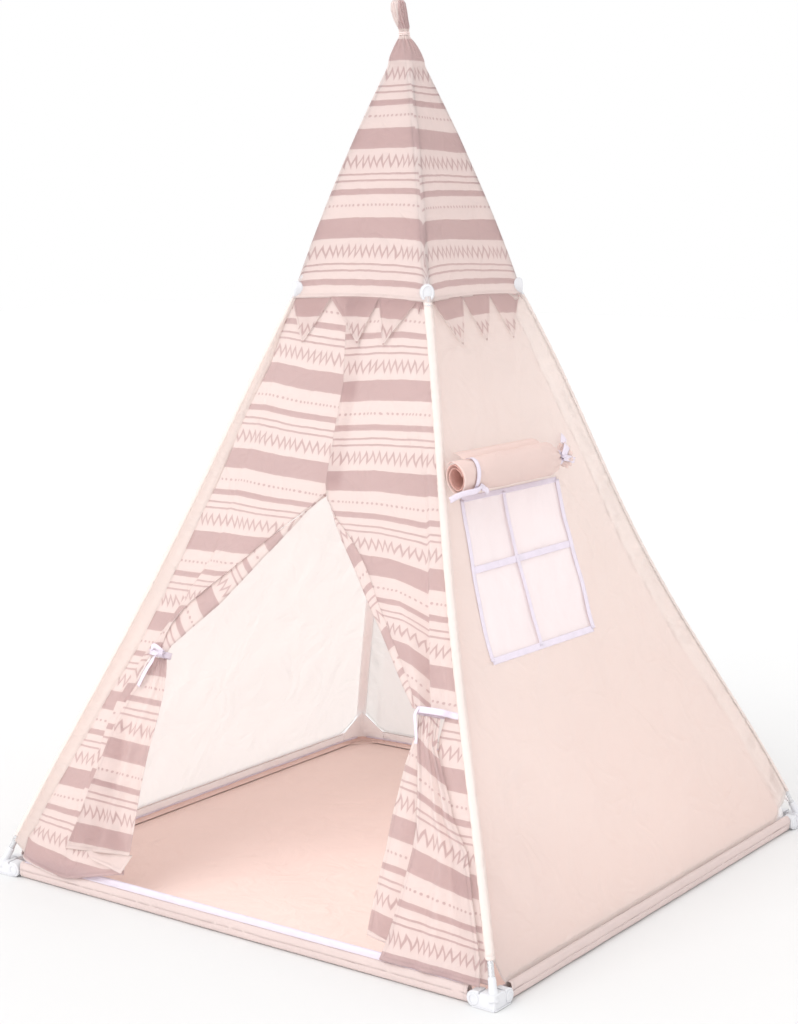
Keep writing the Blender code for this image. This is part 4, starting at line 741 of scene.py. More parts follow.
def wall_surface(face, share, z, seed):
    """A wall's points for shares of its width and heights: flat between the legs, with soft slack,
    the wide hem along its second leg, and its edges drawn out onto the leg channels."""
    left = leg_place(face, 0, z) + LEG_GAP
    right = leg_place(face, 1, z) - LEG_GAP
    across = left + (right - left) * share
    slack = 0.0030 * waves(across, z, 0.30, seed) + 0.0012 * waves(across * 2.2, z, 0.11, seed + 5)
    calm = np.clip(np.minimum(share, 1 - share) * 9, 0, 1)
    calm = calm * np.clip((z - WALL_BOTTOM) / 0.08, 0, 1) * np.clip((SEAM_Z - z) / 0.06, 0, 1)
    onto_first = ONTO_FRONT_RIGHT if face == "right" else ONTO_CHANNEL
    onto_channel = onto_first * np.exp(-((across - left) / LEG_BLEND) ** 2)
    onto_channel = onto_channel + ONTO_CHANNEL * np.exp(-((right - across) / LEG_BLEND) ** 2)
    return across, slack * calm + hem_puff(right - across, z, seed + 9) + onto_channel


def low_edge(across):
    """The wall's bottom edge: on the base channel, and cut away in a slope at the connectors."""
    near = BASE_HALF - np.abs(across)
    return WALL_BOTTOM + CORNER_RISE * np.clip(1 - near / CORNER_REACH, 0, 1)


for number, face in enumerate(("right", "rear", "left")):
    if face == "right":
        marks = {}
        for level, sides in WINDOW_SIDES.items():
            left = leg_place(face, 0, level) + LEG_GAP
            right = leg_place(face, 1, level) - LEG_GAP
            marks[level] = [(side - left) / (right - left) for side in sides]
        columns = [np.linspace(0, 1, 25)[:-1], np.linspace(1, 2, 31)[:-1], np.linspace(2, 3, 46)]
        column = np.concatenate(columns)
    else:
        column = np.linspace(0, 3, 90)
    row = np.concatenate([np.linspace(0, 1, 60)[:-1], np.linspace(1, 2, 36)[:-1],
                          np.linspace(2, 3, 46)])
    row, column = np.meshgrid(row, column, indexing="ij")
    share = column / 3
    rough_across = (share - 0.5) * 2 * BASE_HALF
    bottom = low_edge(rough_across)
    top = seam_line(face, (share - 0.5) * 2 * MID_HALF)
    z = np.where(row < 1, bottom + (WINDOW_LOW - bottom) * row, 0.0)
    z = np.where((row >= 1) & (row < 2), WINDOW_LOW + (WINDOW_HIGH - WINDOW_LOW) * (row - 1), z)
    z = np.where(row >= 2, WINDOW_HIGH + (top - WINDOW_HIGH) * (row - 2), z)
    keep = None
    if face == "right":
        low, high = marks[WINDOW_LOW], marks[WINDOW_HIGH]
        tilt = np.clip(row - 1, 0, 1)
        first = low[0] + (high[0] - low[0]) * tilt
        second = low[1] + (high[1] - low[1]) * tilt
        share = np.where(column < 1, first * column, share)
        share = np.where((column >= 1) & (column < 2), first + (second - first) * (column - 1),
                         share)
        share = np.where(column >= 2, second + (1 - second) * (column - 2), share)
        centre_row = (row[:-1, :-1] + row[1:, 1:]) / 2
        centre_column = (column[:-1, :-1] + column[1:, 1:]) / 2
        keep = ~((centre_row > 1) & (centre_row < 2) & (centre_column > 1) & (centre_column < 2))
    across, out = wall_surface(face, share, z, 70 + 10 * number)
    points = on_face(face, across, z, out)
    uv = np.stack([across, z * SLANT], -1)
    from_leg = leg_place(face, 1, z) - LEG_GAP - across
    doubled = 0.70 * np.clip((WIDE_HEM - from_leg) / 0.002, 0, 1) * np.clip(from_leg / 0.004, 0, 1)
    wall = cloth_piece(f"wall_cloth_{face}", [grid(points, uv, ("bottom", "top"), keep, doubled)],
                       plain_cloth, "tent", [f"wall_{face}"])
    width = 2 * BASE_HALF
    height = (SEAM_Z - WALL_BOTTOM) * SLANT


# Door band
# A strip of the plain cloth along the left edge of the door, doubled and stitched; the striped
# curtain is sewn to its free edge.
BAND_EDGE = np.array([
    (0.033, -0.480), (0.065, -0.486), (0.089, -0.476), (0.129, -0.461), (0.168, -0.444),
    (0.199, -0.430), (0.238, -0.415), (0.304, -0.386), (0.334, -0.374), (0.385, -0.350),
    (0.424, -0.331), (0.476, -0.312), (0.621, -0.264), (0.716, -0.234), (0.767, -0.219),
    (0.863, -0.189), (0.914, -0.171), (1.029, -0.147),
])

level, share = np.meshgrid(np.linspace(0.034, SEAM_Z, 240), np.linspace(0, 1, 14), indexing="ij")
left = leg_place("front", 0, level) + LEG_GAP
right = np.interp(level, BAND_EDGE[:, 0], BAND_EDGE[:, 1]) + 0.004
across = left + (right - left) * share
raised = np.maximum(low_edge(across), level)
puff = 0.0020 * np.sin(np.pi * share) * (0.7 + 0.5 * ruches(level + across * 0.3, 97))
onto_channel = ONTO_CHANNEL * np.exp(-((across - left) / LEG_BLEND) ** 2)
points = on_face("front", across, raised, puff - 0.0003 * share + onto_channel)
uv = np.stack([across, level * SLANT], -1)
band = cloth_piece("door_band_cloth", [grid(points, uv, ("bottom", "right"))], plain_cloth,
                   "tent", ["door_band"])


# Striped cloth: the cap
# The same polyester printed in mauve with wide bands, a hand-drawn zigzag, thin lines and a row of
# dots. Four panels of it meet in seams along the ridges, and the top is gathered, tied with a twist
# of the cloth and left as a tuft.
PRINT_REPEAT = 0.160
WIDE_BAND = (0.0, 0.0368)
LINES_AND_BAND = ((0.0806, 0.0840), (0.0920, 0.0954), (0.1080, 0.1186))
ZIGZAG_AT = 0.0598
TOOTH_HALF_PITCH = 0.0069
DOTS_AT = 0.1355
DOT_PITCH = 0.0092
INK_EDGE = 2200.0
MAUVE = (0.585, 0.41, 0.40)
PALE_GROUND = (0.86, 0.73, 0.695)


def band_of(tree, value, first, last):
    """1 between two values, with edges half a millimetre soft."""
    off = maths(tree, "ABSOLUTE", maths(tree, "SUBTRACT", value, (first + last) / 2))
    return maths(tree, "MULTIPLY_ADD", off, -INK_EDGE, 0.5 + INK_EDGE * (last - first) / 2,
                 clamp=True)


def make_print_group():
    """The print repeats every 160 mm: a wide band, a zigzag as a folded line whose pitch and height
    wander, two thin lines, a narrower band, and a row of dots as circles in cells."""
    tree, inside, outside = group_of("printed_stripes", [("Cloth", "NodeSocketVector")],
                                     [("Ink", "NodeSocketFloat")])
    wobble = add(tree, "ShaderNodeTexNoise",
                 {"Vector": inside.outputs["Cloth"], "Scale": 38.0, "Detail": 2.0})
    slow = add(tree, "ShaderNodeTexNoise",
               {"Vector": inside.outputs["Cloth"], "Scale": 17.0, "Detail": 1.0})
    cloth = add(tree, "ShaderNodeSeparateXYZ", {0: inside.outputs["Cloth"]})
    drift = maths(tree, "MULTIPLY_ADD", wobble.outputs[0], 0.0030, -0.0015)
    down = maths(tree, "ADD", cloth.outputs[1], drift)
    down = maths(tree, "FLOORED_MODULO", down, PRINT_REPEAT)
    ink = band_of(tree, down, *WIDE_BAND)
    for first, last in LINES_AND_BAND:
        ink = maths(tree, "MAXIMUM", ink, band_of(tree, down, first, last))
    slide = maths(tree, "MULTIPLY_ADD", slow.outputs[0], 0.030, -0.015)
    shifted = maths(tree, "ADD", cloth.outputs[0], slide)
    tooth = maths(tree, "PINGPONG", shifted, TOOTH_HALF_PITCH)
    tall = maths(tree, "MULTIPLY_ADD", wobble.outputs[0], 1.6, 1.85)
    aside = maths(tree, "SUBTRACT", tooth, TOOTH_HALF_PITCH / 2)
    peak = maths(tree, "MULTIPLY_ADD", aside, tall, ZIGZAG_AT)
    zigzag = maths(tree, "ABSOLUTE", maths(tree, "SUBTRACT", down, peak))
    zigzag = maths(tree, "MULTIPLY_ADD", zigzag, -460.0, 2.5, clamp=True)
    ink = maths(tree, "MAXIMUM", ink, zigzag)
    cell = maths(tree, "SUBTRACT", maths(tree, "FLOORED_MODULO", shifted, DOT_PITCH), DOT_PITCH / 2)
    row = maths(tree, "MULTIPLY_ADD", wobble.outputs[0], 0.004, DOTS_AT)
    below = maths(tree, "SUBTRACT", down, row)
    squared = maths(tree, "ADD", maths(tree, "MULTIPLY", cell, cell),
                    maths(tree, "MULTIPLY", below, below))
    dot = maths(tree, "MULTIPLY_ADD", maths(tree, "SQRT", squared), -INK_EDGE, 5.6, clamp=True)
    ink = maths(tree, "MAXIMUM", ink, dot)
    tree.links.new(ink, outside.inputs["Ink"])
    return tree


striped_cloth = cloth_finish("striped_cloth", PALE_GROUND, through=0.60,
                             print_group=make_print_group(), ink=MAUVE)
CAP_RIDGE = 0.0072
RIDGE_SHARE = 0.12
TUFT_FROM = 1.4450
TUFT_TOP = 1.5450
TUFT_PLEATS = 14
CAP_WELD = 0.0002
TIE_Z = 1.4811
TUFT = np.array([
    (1.4200, 0.0390, 0.0), (1.4400, 0.0325, 0.0), (1.4490, 0.0292, 0.0004),
    (1.4570, 0.0250, 0.0006), (1.4650, 0.0205, 0.0010), (1.4730, 0.0155, 0.0018),
    (TIE_Z, 0.0098, 0.0030), (1.4870, 0.0074, 0.0034), (1.4930, 0.0080, 0.0036),
    (1.5000, 0.0100, 0.0048), (1.5120, 0.0120, 0.0090), (1.5280, 0.0132, 0.0124),
    (1.5400, 0.0122, 0.0136), (TUFT_TOP, 0.0090, 0.0136),
])
TUFT_LEAN = np.array([-0.8, -0.6, 0.0])


def cap_section(face, share, z):
    """A face of the cap's rounded square at heights z: an eighth of a circle round each leg, and
    between them the face, which falls in from the legs in an exponential curve."""
    first, second, along = FACES[face]
    start = leg_axis(first, z)
    end = leg_axis(second, z)
    at_start = np.clip((RIDGE_SHARE - share) / RIDGE_SHARE, 0, 1) * np.pi / 4
    at_end = np.clip((share - 0.88) / RIDGE_SHARE, 0, 1) * np.pi / 4
    between = np.clip((share - RIDGE_SHARE) / 0.76, 0, 1)
    run = np.linalg.norm(end - start, axis=-1)
    nearest = np.minimum(between, 1 - between) * run
    fall = np.where(run > 0.03, 0.0050 * (1 - np.exp(-nearest / 0.022)), 0.0)
    points = start + (end - start) * between[..., None]
    points = points + away_from(face) * (CAP_RIDGE * np.cos(at_start + at_end) - fall)[..., None]
    return points + along * (CAP_RIDGE * (np.sin(at_end) - np.sin(at_start)))[..., None]


def tuft_section(face, share, z):
    """The gathered top: near-round rings whose radius follows the profile and is pleated with
    fourteen uneven folds that fade in towards the tie."""
    turn = {"front": -1, "right": 0, "rear": 1, "left": 2}[face]
    angle = np.pi / 2 * (turn + share) - np.pi / 4
    radius = np.interp(z, TUFT[:, 0], TUFT[:, 1])
    lean = np.interp(z, TUFT[:, 0], TUFT[:, 2])
    pleats = np.sin(TUFT_PLEATS * angle + 1.2 * np.sin(3 * angle + 1) + 30 * (z - 1.49))
    grown = np.clip((z - 1.445) / 0.035, 0, 1)
    radius = radius * (1 + 0.10 * pleats * grown)
    square = 1 + 0.16 * np.clip(1 - (z - 1.45) / 0.02, 0, 1) * np.cos(2 * angle) ** 2
    ring = np.stack([np.cos(angle), np.sin(angle), 0 * angle], -1) * (radius / square)[..., None]
    return ring + TUFT_LEAN * lean[..., None] + UP * z[..., None]


cap_levels = np.concatenate([np.linspace(0, 1, 150)[:-1], np.linspace(1, 2, 60)])
cap_patches = []
for number, face in enumerate(FACES):
    row, share = np.meshgrid(cap_levels, np.linspace(0, 1, 55), indexing="ij")
    half = leg_place(face, 1, SEAM_Z)
    bottom = seam_line(face, (share - 0.5) * 2 * half) - 0.001
    z = np.where(row < 1, bottom + (TUFT_FROM - bottom) * row,
                 TUFT_FROM + (TUFT_TOP - TUFT_FROM) * (row - 1))
    low = cap_section(face, share, z)
    high = tuft_section(face, share, z)
    mix = np.clip((z - 1.427) / 0.017, 0, 1)
    mix = (mix * mix * (3 - 2 * mix))[..., None]
    points = low * (1 - mix) + high * mix
    across = points @ FACES[face][2]
    inner = np.clip(np.minimum(share, 1 - share) * 7, 0, 1) * np.clip((1.43 - z) / 0.05, 0, 1)
    slack = 0.0022 * waves(across, z, 0.17, 200 + number) * inner
    points = points + away_from(face) * slack[..., None]
    dip = 0.019 * np.exp(-np.minimum(share, 1 - share) * 2 * half / 0.028)
    dip = dip * np.clip((1.25 - z) / 0.16, 0, 1)
    shifted = 0.0 if face in ("front", "rear") else 0.004
    drift = 0.0030 * waves(across, z, 0.22, 210 + number) - shifted
    down = (1.4771 - z) * 1.042 - dip + drift * np.clip((1.47 - z) / 0.05, 0, 1)
    down = np.where(down > 0.4400, 0.4400 + (down - 0.4400) * 0.4, down)
    # Painted shade: above the tie, the tuft's half turned to the picture's right, away from the
    # lamp, is moved onto the print's mauve band. The other half, and the neck at the cord, keep the
    # pale ground.
    above = np.clip((z - TIE_Z) / 0.004, 0, 1)
    towards_picture_right = (points + [0.0109, 0.0082, 0]) @ [0.806, 0.592, 0]
    shaded_half_down = np.where(towards_picture_right > 0.0, 0.020, 0.043)
    down = down * (1 - above) + shaded_half_down * above
    down = np.where((z > 1.478) & (z < 1.496), 0.044, down)
    cap_patches.append(grid(points, np.stack([across, down], -1), ("bottom", "left", "right")))
cap_nodes = [f"cap_panel_{face}" for face in FACES] + ["crown"]
cap_nodes += [f"cap_sleeve_{corner}" for corner in CORNERS]
cap = cloth_piece("cap", cap_patches, striped_cloth, "tent", cap_nodes,
                  merge=CAP_WELD)


# Pennants
# Pointed tongues of the striped cloth, cut from one strip for each face and sewn in with the seam
# between cap and wall.
PENNANT_NOTCHES = {
    "front": ((-0.139, 0.010), (-0.102, 0.080), (-0.058, 0.003), (0.020, 0.080), (0.044, 0.003),
              (0.075, 0.080), (0.124, 0.003), (0.136, 0.022)),
    "right": ((-0.134, 0.016), (-0.087, 0.080), (-0.049, 0.003), (-0.014, 0.080), (0.038, 0.003),
              (0.068, 0.080), (0.130, 0.003), (0.136, 0.010)),
}


def steps_between(marks, step):
    """Values through a list of marks, in even steps of about the given size between them."""
    parts = [np.linspace(start, end, max(2, round(abs(end - start) / step) + 1))[:-1]
             for start, end in zip(marks, marks[1:])]
    return np.concatenate(parts + [np.array([marks[-1]])])


for number, face in enumerate(FACES):
    cut = np.array(PENNANT_NOTCHES["front" if face in ("front", "rear") else "right"])
    columns = steps_between(list(cut[:, 0]), 0.004)
    share, across = np.meshgrid(np.linspace(1, 0, 22), columns, indexing="ij")
    drop = np.interp(across, cut[:, 0], cut[:, 1])
    z = seam_line(face, across) + 0.0004 - drop * share
    sway = 0.0016 * np.sin(across * 90 + number) * share
    points = on_face(face, across, z, 0.0030 + 0.0035 * share + sway)
    down = (seam_line(face, across) - z) * SLANT + 0.0005
    pennants = cloth_piece(f"pennant_cloth_{face}",
                           [grid(points, np.stack([across, down], -1), ("bottom",))], striped_cloth,
                           f"pennant_strip_{face}", [f"pennants_{face}"])


# Door curtains
# Two panels of the striped cloth, sewn along the cap and along the leg or the door band, the right
# one over the left. Each is drawn aside into a tie, and its tail falls below the tie in soft folds.
# Each is laid out by lines that run down it: height, place across the face, depth, and how far the
# print has slipped.
PRINT_RIGHT = np.array([(1.017, 0.16), (0.867, 0.0), (0.716, -0.16), (0.569, -0.32), (0.423, -0.48),
                        (0.283, -0.64), (0.145, -0.80), (0.010, -0.96)])
PRINT_LEFT = np.array([(1.034, 0.16), (0.884, 0.0), (0.734, -0.16), (0.589, -0.32), (0.446, -0.48),
                       (0.304, -0.64), (0.168, -0.80), (0.036, -0.96)])


def by_height(lines):
    """Lines as arrays, with the points of each in order of height."""
    return [np.array(line)[np.argsort(np.array(line)[:, 0])] for line in lines]


def laid_out(lines, levels, columns):
    """Places between guiding lines: straight across from line to line, with the depth in an S-curve,
    so that each line is a soft ridge or valley. Gives place, depth, slip and share of width."""
    tables = by_height(lines)
    place, depth, slip = [np.stack([np.interp(levels, table[:, 0], table[:, kind])
                                    for table in tables], 1) for kind in (1, 2, 3)]
    parts = []
    for number in range(len(lines) - 1):
        share = np.linspace(0, 1, columns + 1)
        if number < len(lines) - 2:
            share = share[:-1]
        curve = share * share * (3 - 2 * share)
        parts.append([
            place[:, [number]] * (1 - share) + place[:, [number + 1]] * share,
            depth[:, [number]] * (1 - curve) + depth[:, [number + 1]] * curve,
            slip[:, [number]] * (1 - share) + slip[:, [number + 1]] * share,
            np.broadcast_to(number + share, (len(levels), len(share))),
        ])
    return [np.concatenate([part[kind] for part in parts], axis=1) for kind in range(4)]


def print_height(table, z, slip):
    """Cloth coordinate down the print at heights z, after the cloth has slipped."""
    level = z - slip
    order = np.argsort(table[:, 0])
    heights, values = table[order, 0], table[order, 1]
    below = values[0] + (level - heights[0]) * 1.12
    above = values[-1] + (level - heights[-1]) * SLANT
    inner = np.interp(level, heights, values)
    return np.where(level < heights[0], below, np.where(level > heights[-1], above, inner))


def hung_cloth(lines, levels, columns, table, seed, hem=None, keep_from=None, wrinkle=0.0015):
    """A patch of curtain on the door face from its guiding lines; 'hem' bends its lowest edge, and
    'keep_from' (height, first span) leaves only the outer spans below a height."""
    across, depth, slip, span = laid_out(lines, levels, columns)
    z = np.broadcast_to(levels[:, None], across.shape).copy()
    z = z + (seam_line("front", across) - 0.0003 - SEAM_Z) * np.clip((z - 0.90) / 0.12, 0, 1)
    if hem is not None:
        low = np.interp(across, hem[:, 0], hem[:, 1]) - levels[0]
        z = z + low * np.clip(1 - (z - levels[0]) / 0.12, 0, 1)
    ripple = wrinkle * waves(across, z * 0.5, 0.10, seed)
    points = on_face("front", across, z, depth + ripple)
    uv = np.stack([across, print_height(table, levels[:, None], slip)], -1)
    keep = None
    if keep_from is not None:
        middle = (span[:-1, :-1] + span[1:, 1:]) / 2
        keep = (levels[:-1, None] >= keep_from[0]) | (middle > keep_from[1])
    return grid(points, uv, ("bottom",), keep)


def leg_line(which, gap, heights):
    """Guiding line along a leg of the door face."""
    return [(z, float(leg_place("front", which, z)) + gap, 0.0004, 0.0) for z in heights]


CURTAIN_FOOT = 0.034
RIGHT_TIE_Z = 0.388
LEFT_TIE_Z = 0.404
LEVELS = [CURTAIN_FOOT, 0.10, 0.20, 0.30, 0.35, 0.40, 0.50, 0.60, 0.70, 0.80, 0.90, SEAM_Z]
RIGHT_LINES = [
    [(1.0285, -0.026, 0.0022, -0.010), (0.958, -0.011, 0.0022, -0.010),
     (0.892, 0.002, 0.0022, -0.010), (0.800, 0.002, 0.0024, -0.010), (0.721, 0.003, 0.003, -0.009),
     (0.696, 0.012, 0.004, -0.003), (0.668, 0.037, 0.005, 0.001), (0.640, 0.070, 0.006, 0.005),
     (0.618, 0.095, 0.007, 0.009), (0.586, 0.123, 0.008, 0.011), (0.539, 0.157, 0.009, 0.018),
     (0.505, 0.186, 0.010, 0.025), (0.457, 0.226, 0.012, 0.035), (0.413, 0.262, 0.013, 0.031),
     (0.386, 0.281, 0.013, 0.028)],
    [(1.0285, 0.035, 0.0010, -0.006), (0.90, 0.060, 0.0015, -0.004), (0.773, 0.095, 0.003, -0.002),
     (0.70, 0.112, 0.005, 0.0), (0.65, 0.133, 0.006, 0.004), (0.60, 0.165, 0.007, 0.008),
     (0.55, 0.197, 0.010, 0.013), (0.50, 0.226, 0.013, 0.020), (0.45, 0.252, 0.015, 0.028),
     (0.41, 0.276, 0.015, 0.026), (0.386, 0.290, 0.013, 0.024)],
    [(1.0285, 0.085, 0.0006, 0.0), (0.90, 0.135, 0.0006, 0.0), (0.773, 0.187, -0.0020, 0.0),
     (0.669, 0.214, -0.0030, -0.004), (0.597, 0.234, -0.0030, -0.006),
     (0.548, 0.247, -0.0030, -0.006), (0.503, 0.262, -0.0030, -0.001),
     (0.459, 0.277, -0.0030, 0.006), (0.420, 0.291, -0.0020, 0.010), (0.386, 0.303, 0.000, 0.012)],
    [(1.0285, 0.098, 0.0006, 0.0), (0.90, 0.152, 0.0010, 0.0), (0.773, 0.202, 0.0020, 0.0),
     (0.669, 0.226, 0.003, 0.0), (0.597, 0.243, 0.004, 0.0), (0.548, 0.254, 0.005, 0.0),
     (0.503, 0.267, 0.007, 0.0), (0.459, 0.281, 0.009, 0.0), (0.420, 0.295, 0.010, 0.0),
     (0.386, 0.310, 0.010, 0.0)],
    [(1.0285, 0.122, 0.0006, 0.0), (0.90, 0.173, 0.0008, 0.0), (0.773, 0.215, 0.0010, 0.0),
     (0.70, 0.236, 0.0012, 0.0), (0.60, 0.260, 0.002, 0.0), (0.50, 0.292, 0.003, 0.0),
     (0.45, 0.310, 0.004, 0.0), (0.42, 0.323, 0.004, 0.0), (0.395, 0.333, 0.003, 0.0),
     (0.35, 0.330, 0.0006, 0.0), (0.30, 0.345, 0.0006, 0.0), (0.25, 0.372, 0.0004, 0.0),
     (0.20, 0.405, 0.0004, 0.0), (0.15, 0.430, 0.0004, 0.0), (0.10, 0.455, 0.0004, 0.0),
     (0.05, 0.480, 0.0004, 0.0), (0.034, 0.490, 0.0004, 0.0)],
    leg_line(1, -0.0055, LEVELS),
]
RIGHT_STRIP = [
    [(0.710, 0.006, 0.0), (0.696, 0.012, 0.0), (0.663, 0.032, 0.0), (0.630, 0.055, 0.0),
     (0.607, 0.075, 0.0), (0.548, 0.123, 0.0), (0.503, 0.163, 0.001), (0.462, 0.200, 0.003),
     (0.418, 0.240, 0.006), (0.393, 0.266, 0.007), (0.384, 0.274, 0.007)],
    [(0.710, 0.010, 0.0), (0.668, 0.034, 0.0), (0.640, 0.074, 0.0020), (0.618, 0.099, 0.0030),
     (0.586, 0.128, 0.0035), (0.539, 0.163, 0.0035), (0.505, 0.192, 0.0045), (0.457, 0.232, 0.006),
     (0.413, 0.266, 0.008), (0.384, 0.286, 0.008)],
]
LEFT_LINES = [
    [(z, x, 0.0004 + 0.010 * max(0.0, (0.07 - z) / 0.037), 0.0) for z, x in BAND_EDGE],
    [(1.0285, -0.135, 0.0004, 0.0), (0.62, -0.205, 0.0010, 0.0), (0.585, -0.212, 0.0010, 0.0),
     (0.50, -0.258, 0.0015, 0.0), (0.46, -0.276, 0.0015, 0.0), (0.40, -0.316, 0.0015, 0.0),
     (0.32, -0.351, 0.001, 0.0), (0.27, -0.362, 0.001, 0.0), (0.20, -0.372, 0.001, 0.0),
     (0.13, -0.388, 0.001, 0.0), (0.06, -0.400, 0.005, 0.0), (0.034, -0.400, 0.0105, 0.0)],
    [(1.0285, -0.128, 0.0008, -0.001), (0.62, -0.196, 0.0030, 0.001),
     (0.585, -0.206, 0.0040, 0.004), (0.50, -0.253, 0.0060, 0.013), (0.46, -0.272, 0.0065, 0.015),
     (0.40, -0.313, 0.0060, 0.016), (0.32, -0.349, 0.005, 0.017), (0.27, -0.360, 0.005, 0.013),
     (0.20, -0.370, 0.004, 0.006), (0.13, -0.383, 0.003, 0.0), (0.08, -0.360, 0.003, -0.005),
     (0.06, -0.340, 0.006, -0.008), (0.034, -0.340, 0.0115, -0.008)],
    [(1.0285, -0.070, 0.0004, -0.008), (0.90, -0.080, 0.0010, -0.009),
     (0.767, -0.095, 0.0030, -0.008), (0.66, -0.130, 0.0050, -0.004), (0.60, -0.155, 0.0070, 0.0),
     (0.55, -0.192, 0.0090, 0.006), (0.50, -0.240, 0.0110, 0.014), (0.46, -0.266, 0.0125, 0.018),
     (0.42, -0.283, 0.0120, 0.018), (0.399, -0.305, 0.0060, 0.018), (0.374, -0.317, 0.0040, 0.018),
     (0.345, -0.326, 0.0020, 0.018), (0.30, -0.335, 0.0005, 0.016), (0.20, -0.325, -0.0015, 0.004),
     (0.10, -0.300, -0.0015, -0.010), (0.07, -0.295, -0.0010, -0.016),
     (0.05, -0.290, 0.005, -0.020), (0.034, -0.290, 0.0095, -0.020)],
    [(1.0285, 0.012, -0.0024, -0.016), (0.90, 0.030, -0.0024, -0.016),
     (0.716, 0.034, -0.0024, -0.014), (0.702, 0.006, -0.0020, -0.013),
     (0.680, -0.022, 0.0020, -0.008), (0.650, -0.060, 0.0050, -0.004), (0.620, -0.095, 0.0070, 0.0),
     (0.590, -0.128, 0.0085, 0.003), (0.560, -0.162, 0.0100, 0.006), (0.530, -0.198, 0.0110, 0.010),
     (0.500, -0.231, 0.0120, 0.014), (0.480, -0.248, 0.0125, 0.016), (0.460, -0.260, 0.0130, 0.018),
     (0.440, -0.266, 0.0130, 0.018), (0.420, -0.270, 0.0120, 0.018), (0.408, -0.276, 0.0100, 0.018),
     (0.399, -0.300, 0.0050, 0.018), (0.374, -0.313, 0.0030, 0.018), (0.345, -0.321, 0.0010, 0.018),
     (0.326, -0.328, 0.000, 0.018), (0.30, -0.322, -0.0010, 0.016), (0.25, -0.310, -0.0020, 0.010),
     (0.20, -0.300, -0.0020, 0.004), (0.15, -0.285, -0.0020, -0.004),
     (0.10, -0.262, -0.0020, -0.012), (0.07, -0.250, -0.0015, -0.018),
     (0.05, -0.242, 0.003, -0.022), (0.034, -0.240, 0.004, -0.024)],
]
LEFT_HEM = np.array([(-0.487, 0.042), (-0.475, 0.033), (-0.453, 0.028), (-0.403, 0.022),
                     (-0.367, 0.021), (-0.335, 0.027), (-0.311, 0.034), (-0.244, 0.050)])
LEFT_STRIP = [
    [(0.712, 0.012, -0.0026), (0.680, -0.020, 0.0), (0.650, -0.058, 0.002), (0.620, -0.100, 0.0025),
     (0.590, -0.134, 0.003), (0.560, -0.168, 0.004), (0.530, -0.204, 0.005), (0.500, -0.236, 0.006),
     (0.480, -0.252, 0.007), (0.460, -0.264, 0.008), (0.440, -0.270, 0.009), (0.420, -0.274, 0.009),
     (0.404, -0.278, 0.009)],
    [(0.716, 0.020, -0.0026), (0.700, -0.003, -0.001), (0.685, -0.018, 0.0), (0.650, -0.046, 0.0),
     (0.624, -0.069, 0.0), (0.581, -0.108, 0.0), (0.542, -0.140, 0.001), (0.510, -0.166, 0.002),
     (0.478, -0.199, 0.004), (0.449, -0.228, 0.006), (0.424, -0.252, 0.008),
     (0.404, -0.262, 0.008)],
]


def diagonal_strip(lines, levels, start, towards, seed):
    """The hem folded back along a curtain's slanting edge; its print runs along the slant."""
    tables = by_height(lines)
    share = np.linspace(0, 1, 9)
    place = [np.interp(levels, table[:, 0], table[:, 1])[:, None] for table in tables]
    depth = [np.interp(levels, table[:, 0], table[:, 2])[:, None] for table in tables]
    across = place[0] * (1 - share) + place[1] * share
    out = depth[0] * (1 - share) + depth[1] * share + 0.0035 * np.sin(np.pi * share)
    z = np.broadcast_to(levels[:, None], across.shape)
    out = out + 0.0008 * waves(across, z, 0.06, seed)
    direction = np.array(towards) / np.hypot(*towards)
    along = (across - start[0]) * direction[0] + (z - start[1]) * direction[1]
    aside = (across - start[0]) * direction[1] - (z - start[1]) * direction[0]
    uv = np.stack([aside, 0.018 - along], -1)
    return grid(on_face("front", across, z, out), uv, ())


panel_levels = np.linspace(CURTAIN_FOOT, SEAM_Z, 330)
right_panel = hung_cloth(RIGHT_LINES, panel_levels, 14, PRINT_RIGHT, 300,
                         keep_from=(RIGHT_TIE_Z, 4.0))
right_strip = diagonal_strip(RIGHT_STRIP, np.linspace(RIGHT_TIE_Z, 0.700, 110), (0.0805, 0.604),
                             (0.1045, -0.116), 303)
right_curtain = cloth_piece("right_curtain_cloth", [right_panel, right_strip], striped_cloth,
                            "tent", ["right_curtain"])

left_panel = hung_cloth(LEFT_LINES, panel_levels, 16, PRINT_LEFT, 310, hem=LEFT_HEM)
left_strip = diagonal_strip(LEFT_STRIP, np.linspace(LEFT_TIE_Z, 0.712, 110), (-0.075, 0.608),
                            (-0.125, -0.103), 313)
drop, share = np.meshgrid(np.linspace(0, 1, 14), np.linspace(0, 1, 34), indexing="ij")
across = (-0.318 + 0.078 * share) * (1 - drop) + (-0.345 + 0.112 * share) * drop
z = (0.063 - 0.011 * share) * (1 - drop) + (0.078 + 0.006 * share) * drop
points = on_face("front", across, z, 0.0120 - 0.0125 * drop + 0.0008 * np.sin(9 * share))
left_corner = grid(points, np.stack([across, 0.1215 + 0.008 * drop], -1), ("bottom", "right"))
# Painted shade: a narrow strip held on the print's mauve band, set back beside the left tail's edge
# below the tie, is a dark sheet put in for the shadowed slit between panel and tail.
drop, share = np.meshgrid(np.linspace(0, 1, 30), np.linspace(0, 1, 8), indexing="ij")
across = np.interp(1 - drop, (0, 0.3, 0.6, 1),
                   (-0.3235, -0.3100, -0.3005, -0.2900)) + 0.011 * (share - 0.85)
z = 0.322 + 0.070 * (1 - drop)
points = on_face("front", across, z, 0.0056 - 0.002 * share)
left_slit_shade = grid(points[::-1], np.stack([across, 0.016 + 0 * z], -1)[::-1], ())
left_curtain = cloth_piece("left_curtain_cloth", [left_panel, left_strip, left_corner, left_slit_shade],
                           striped_cloth, "tent", ["left_curtain"])


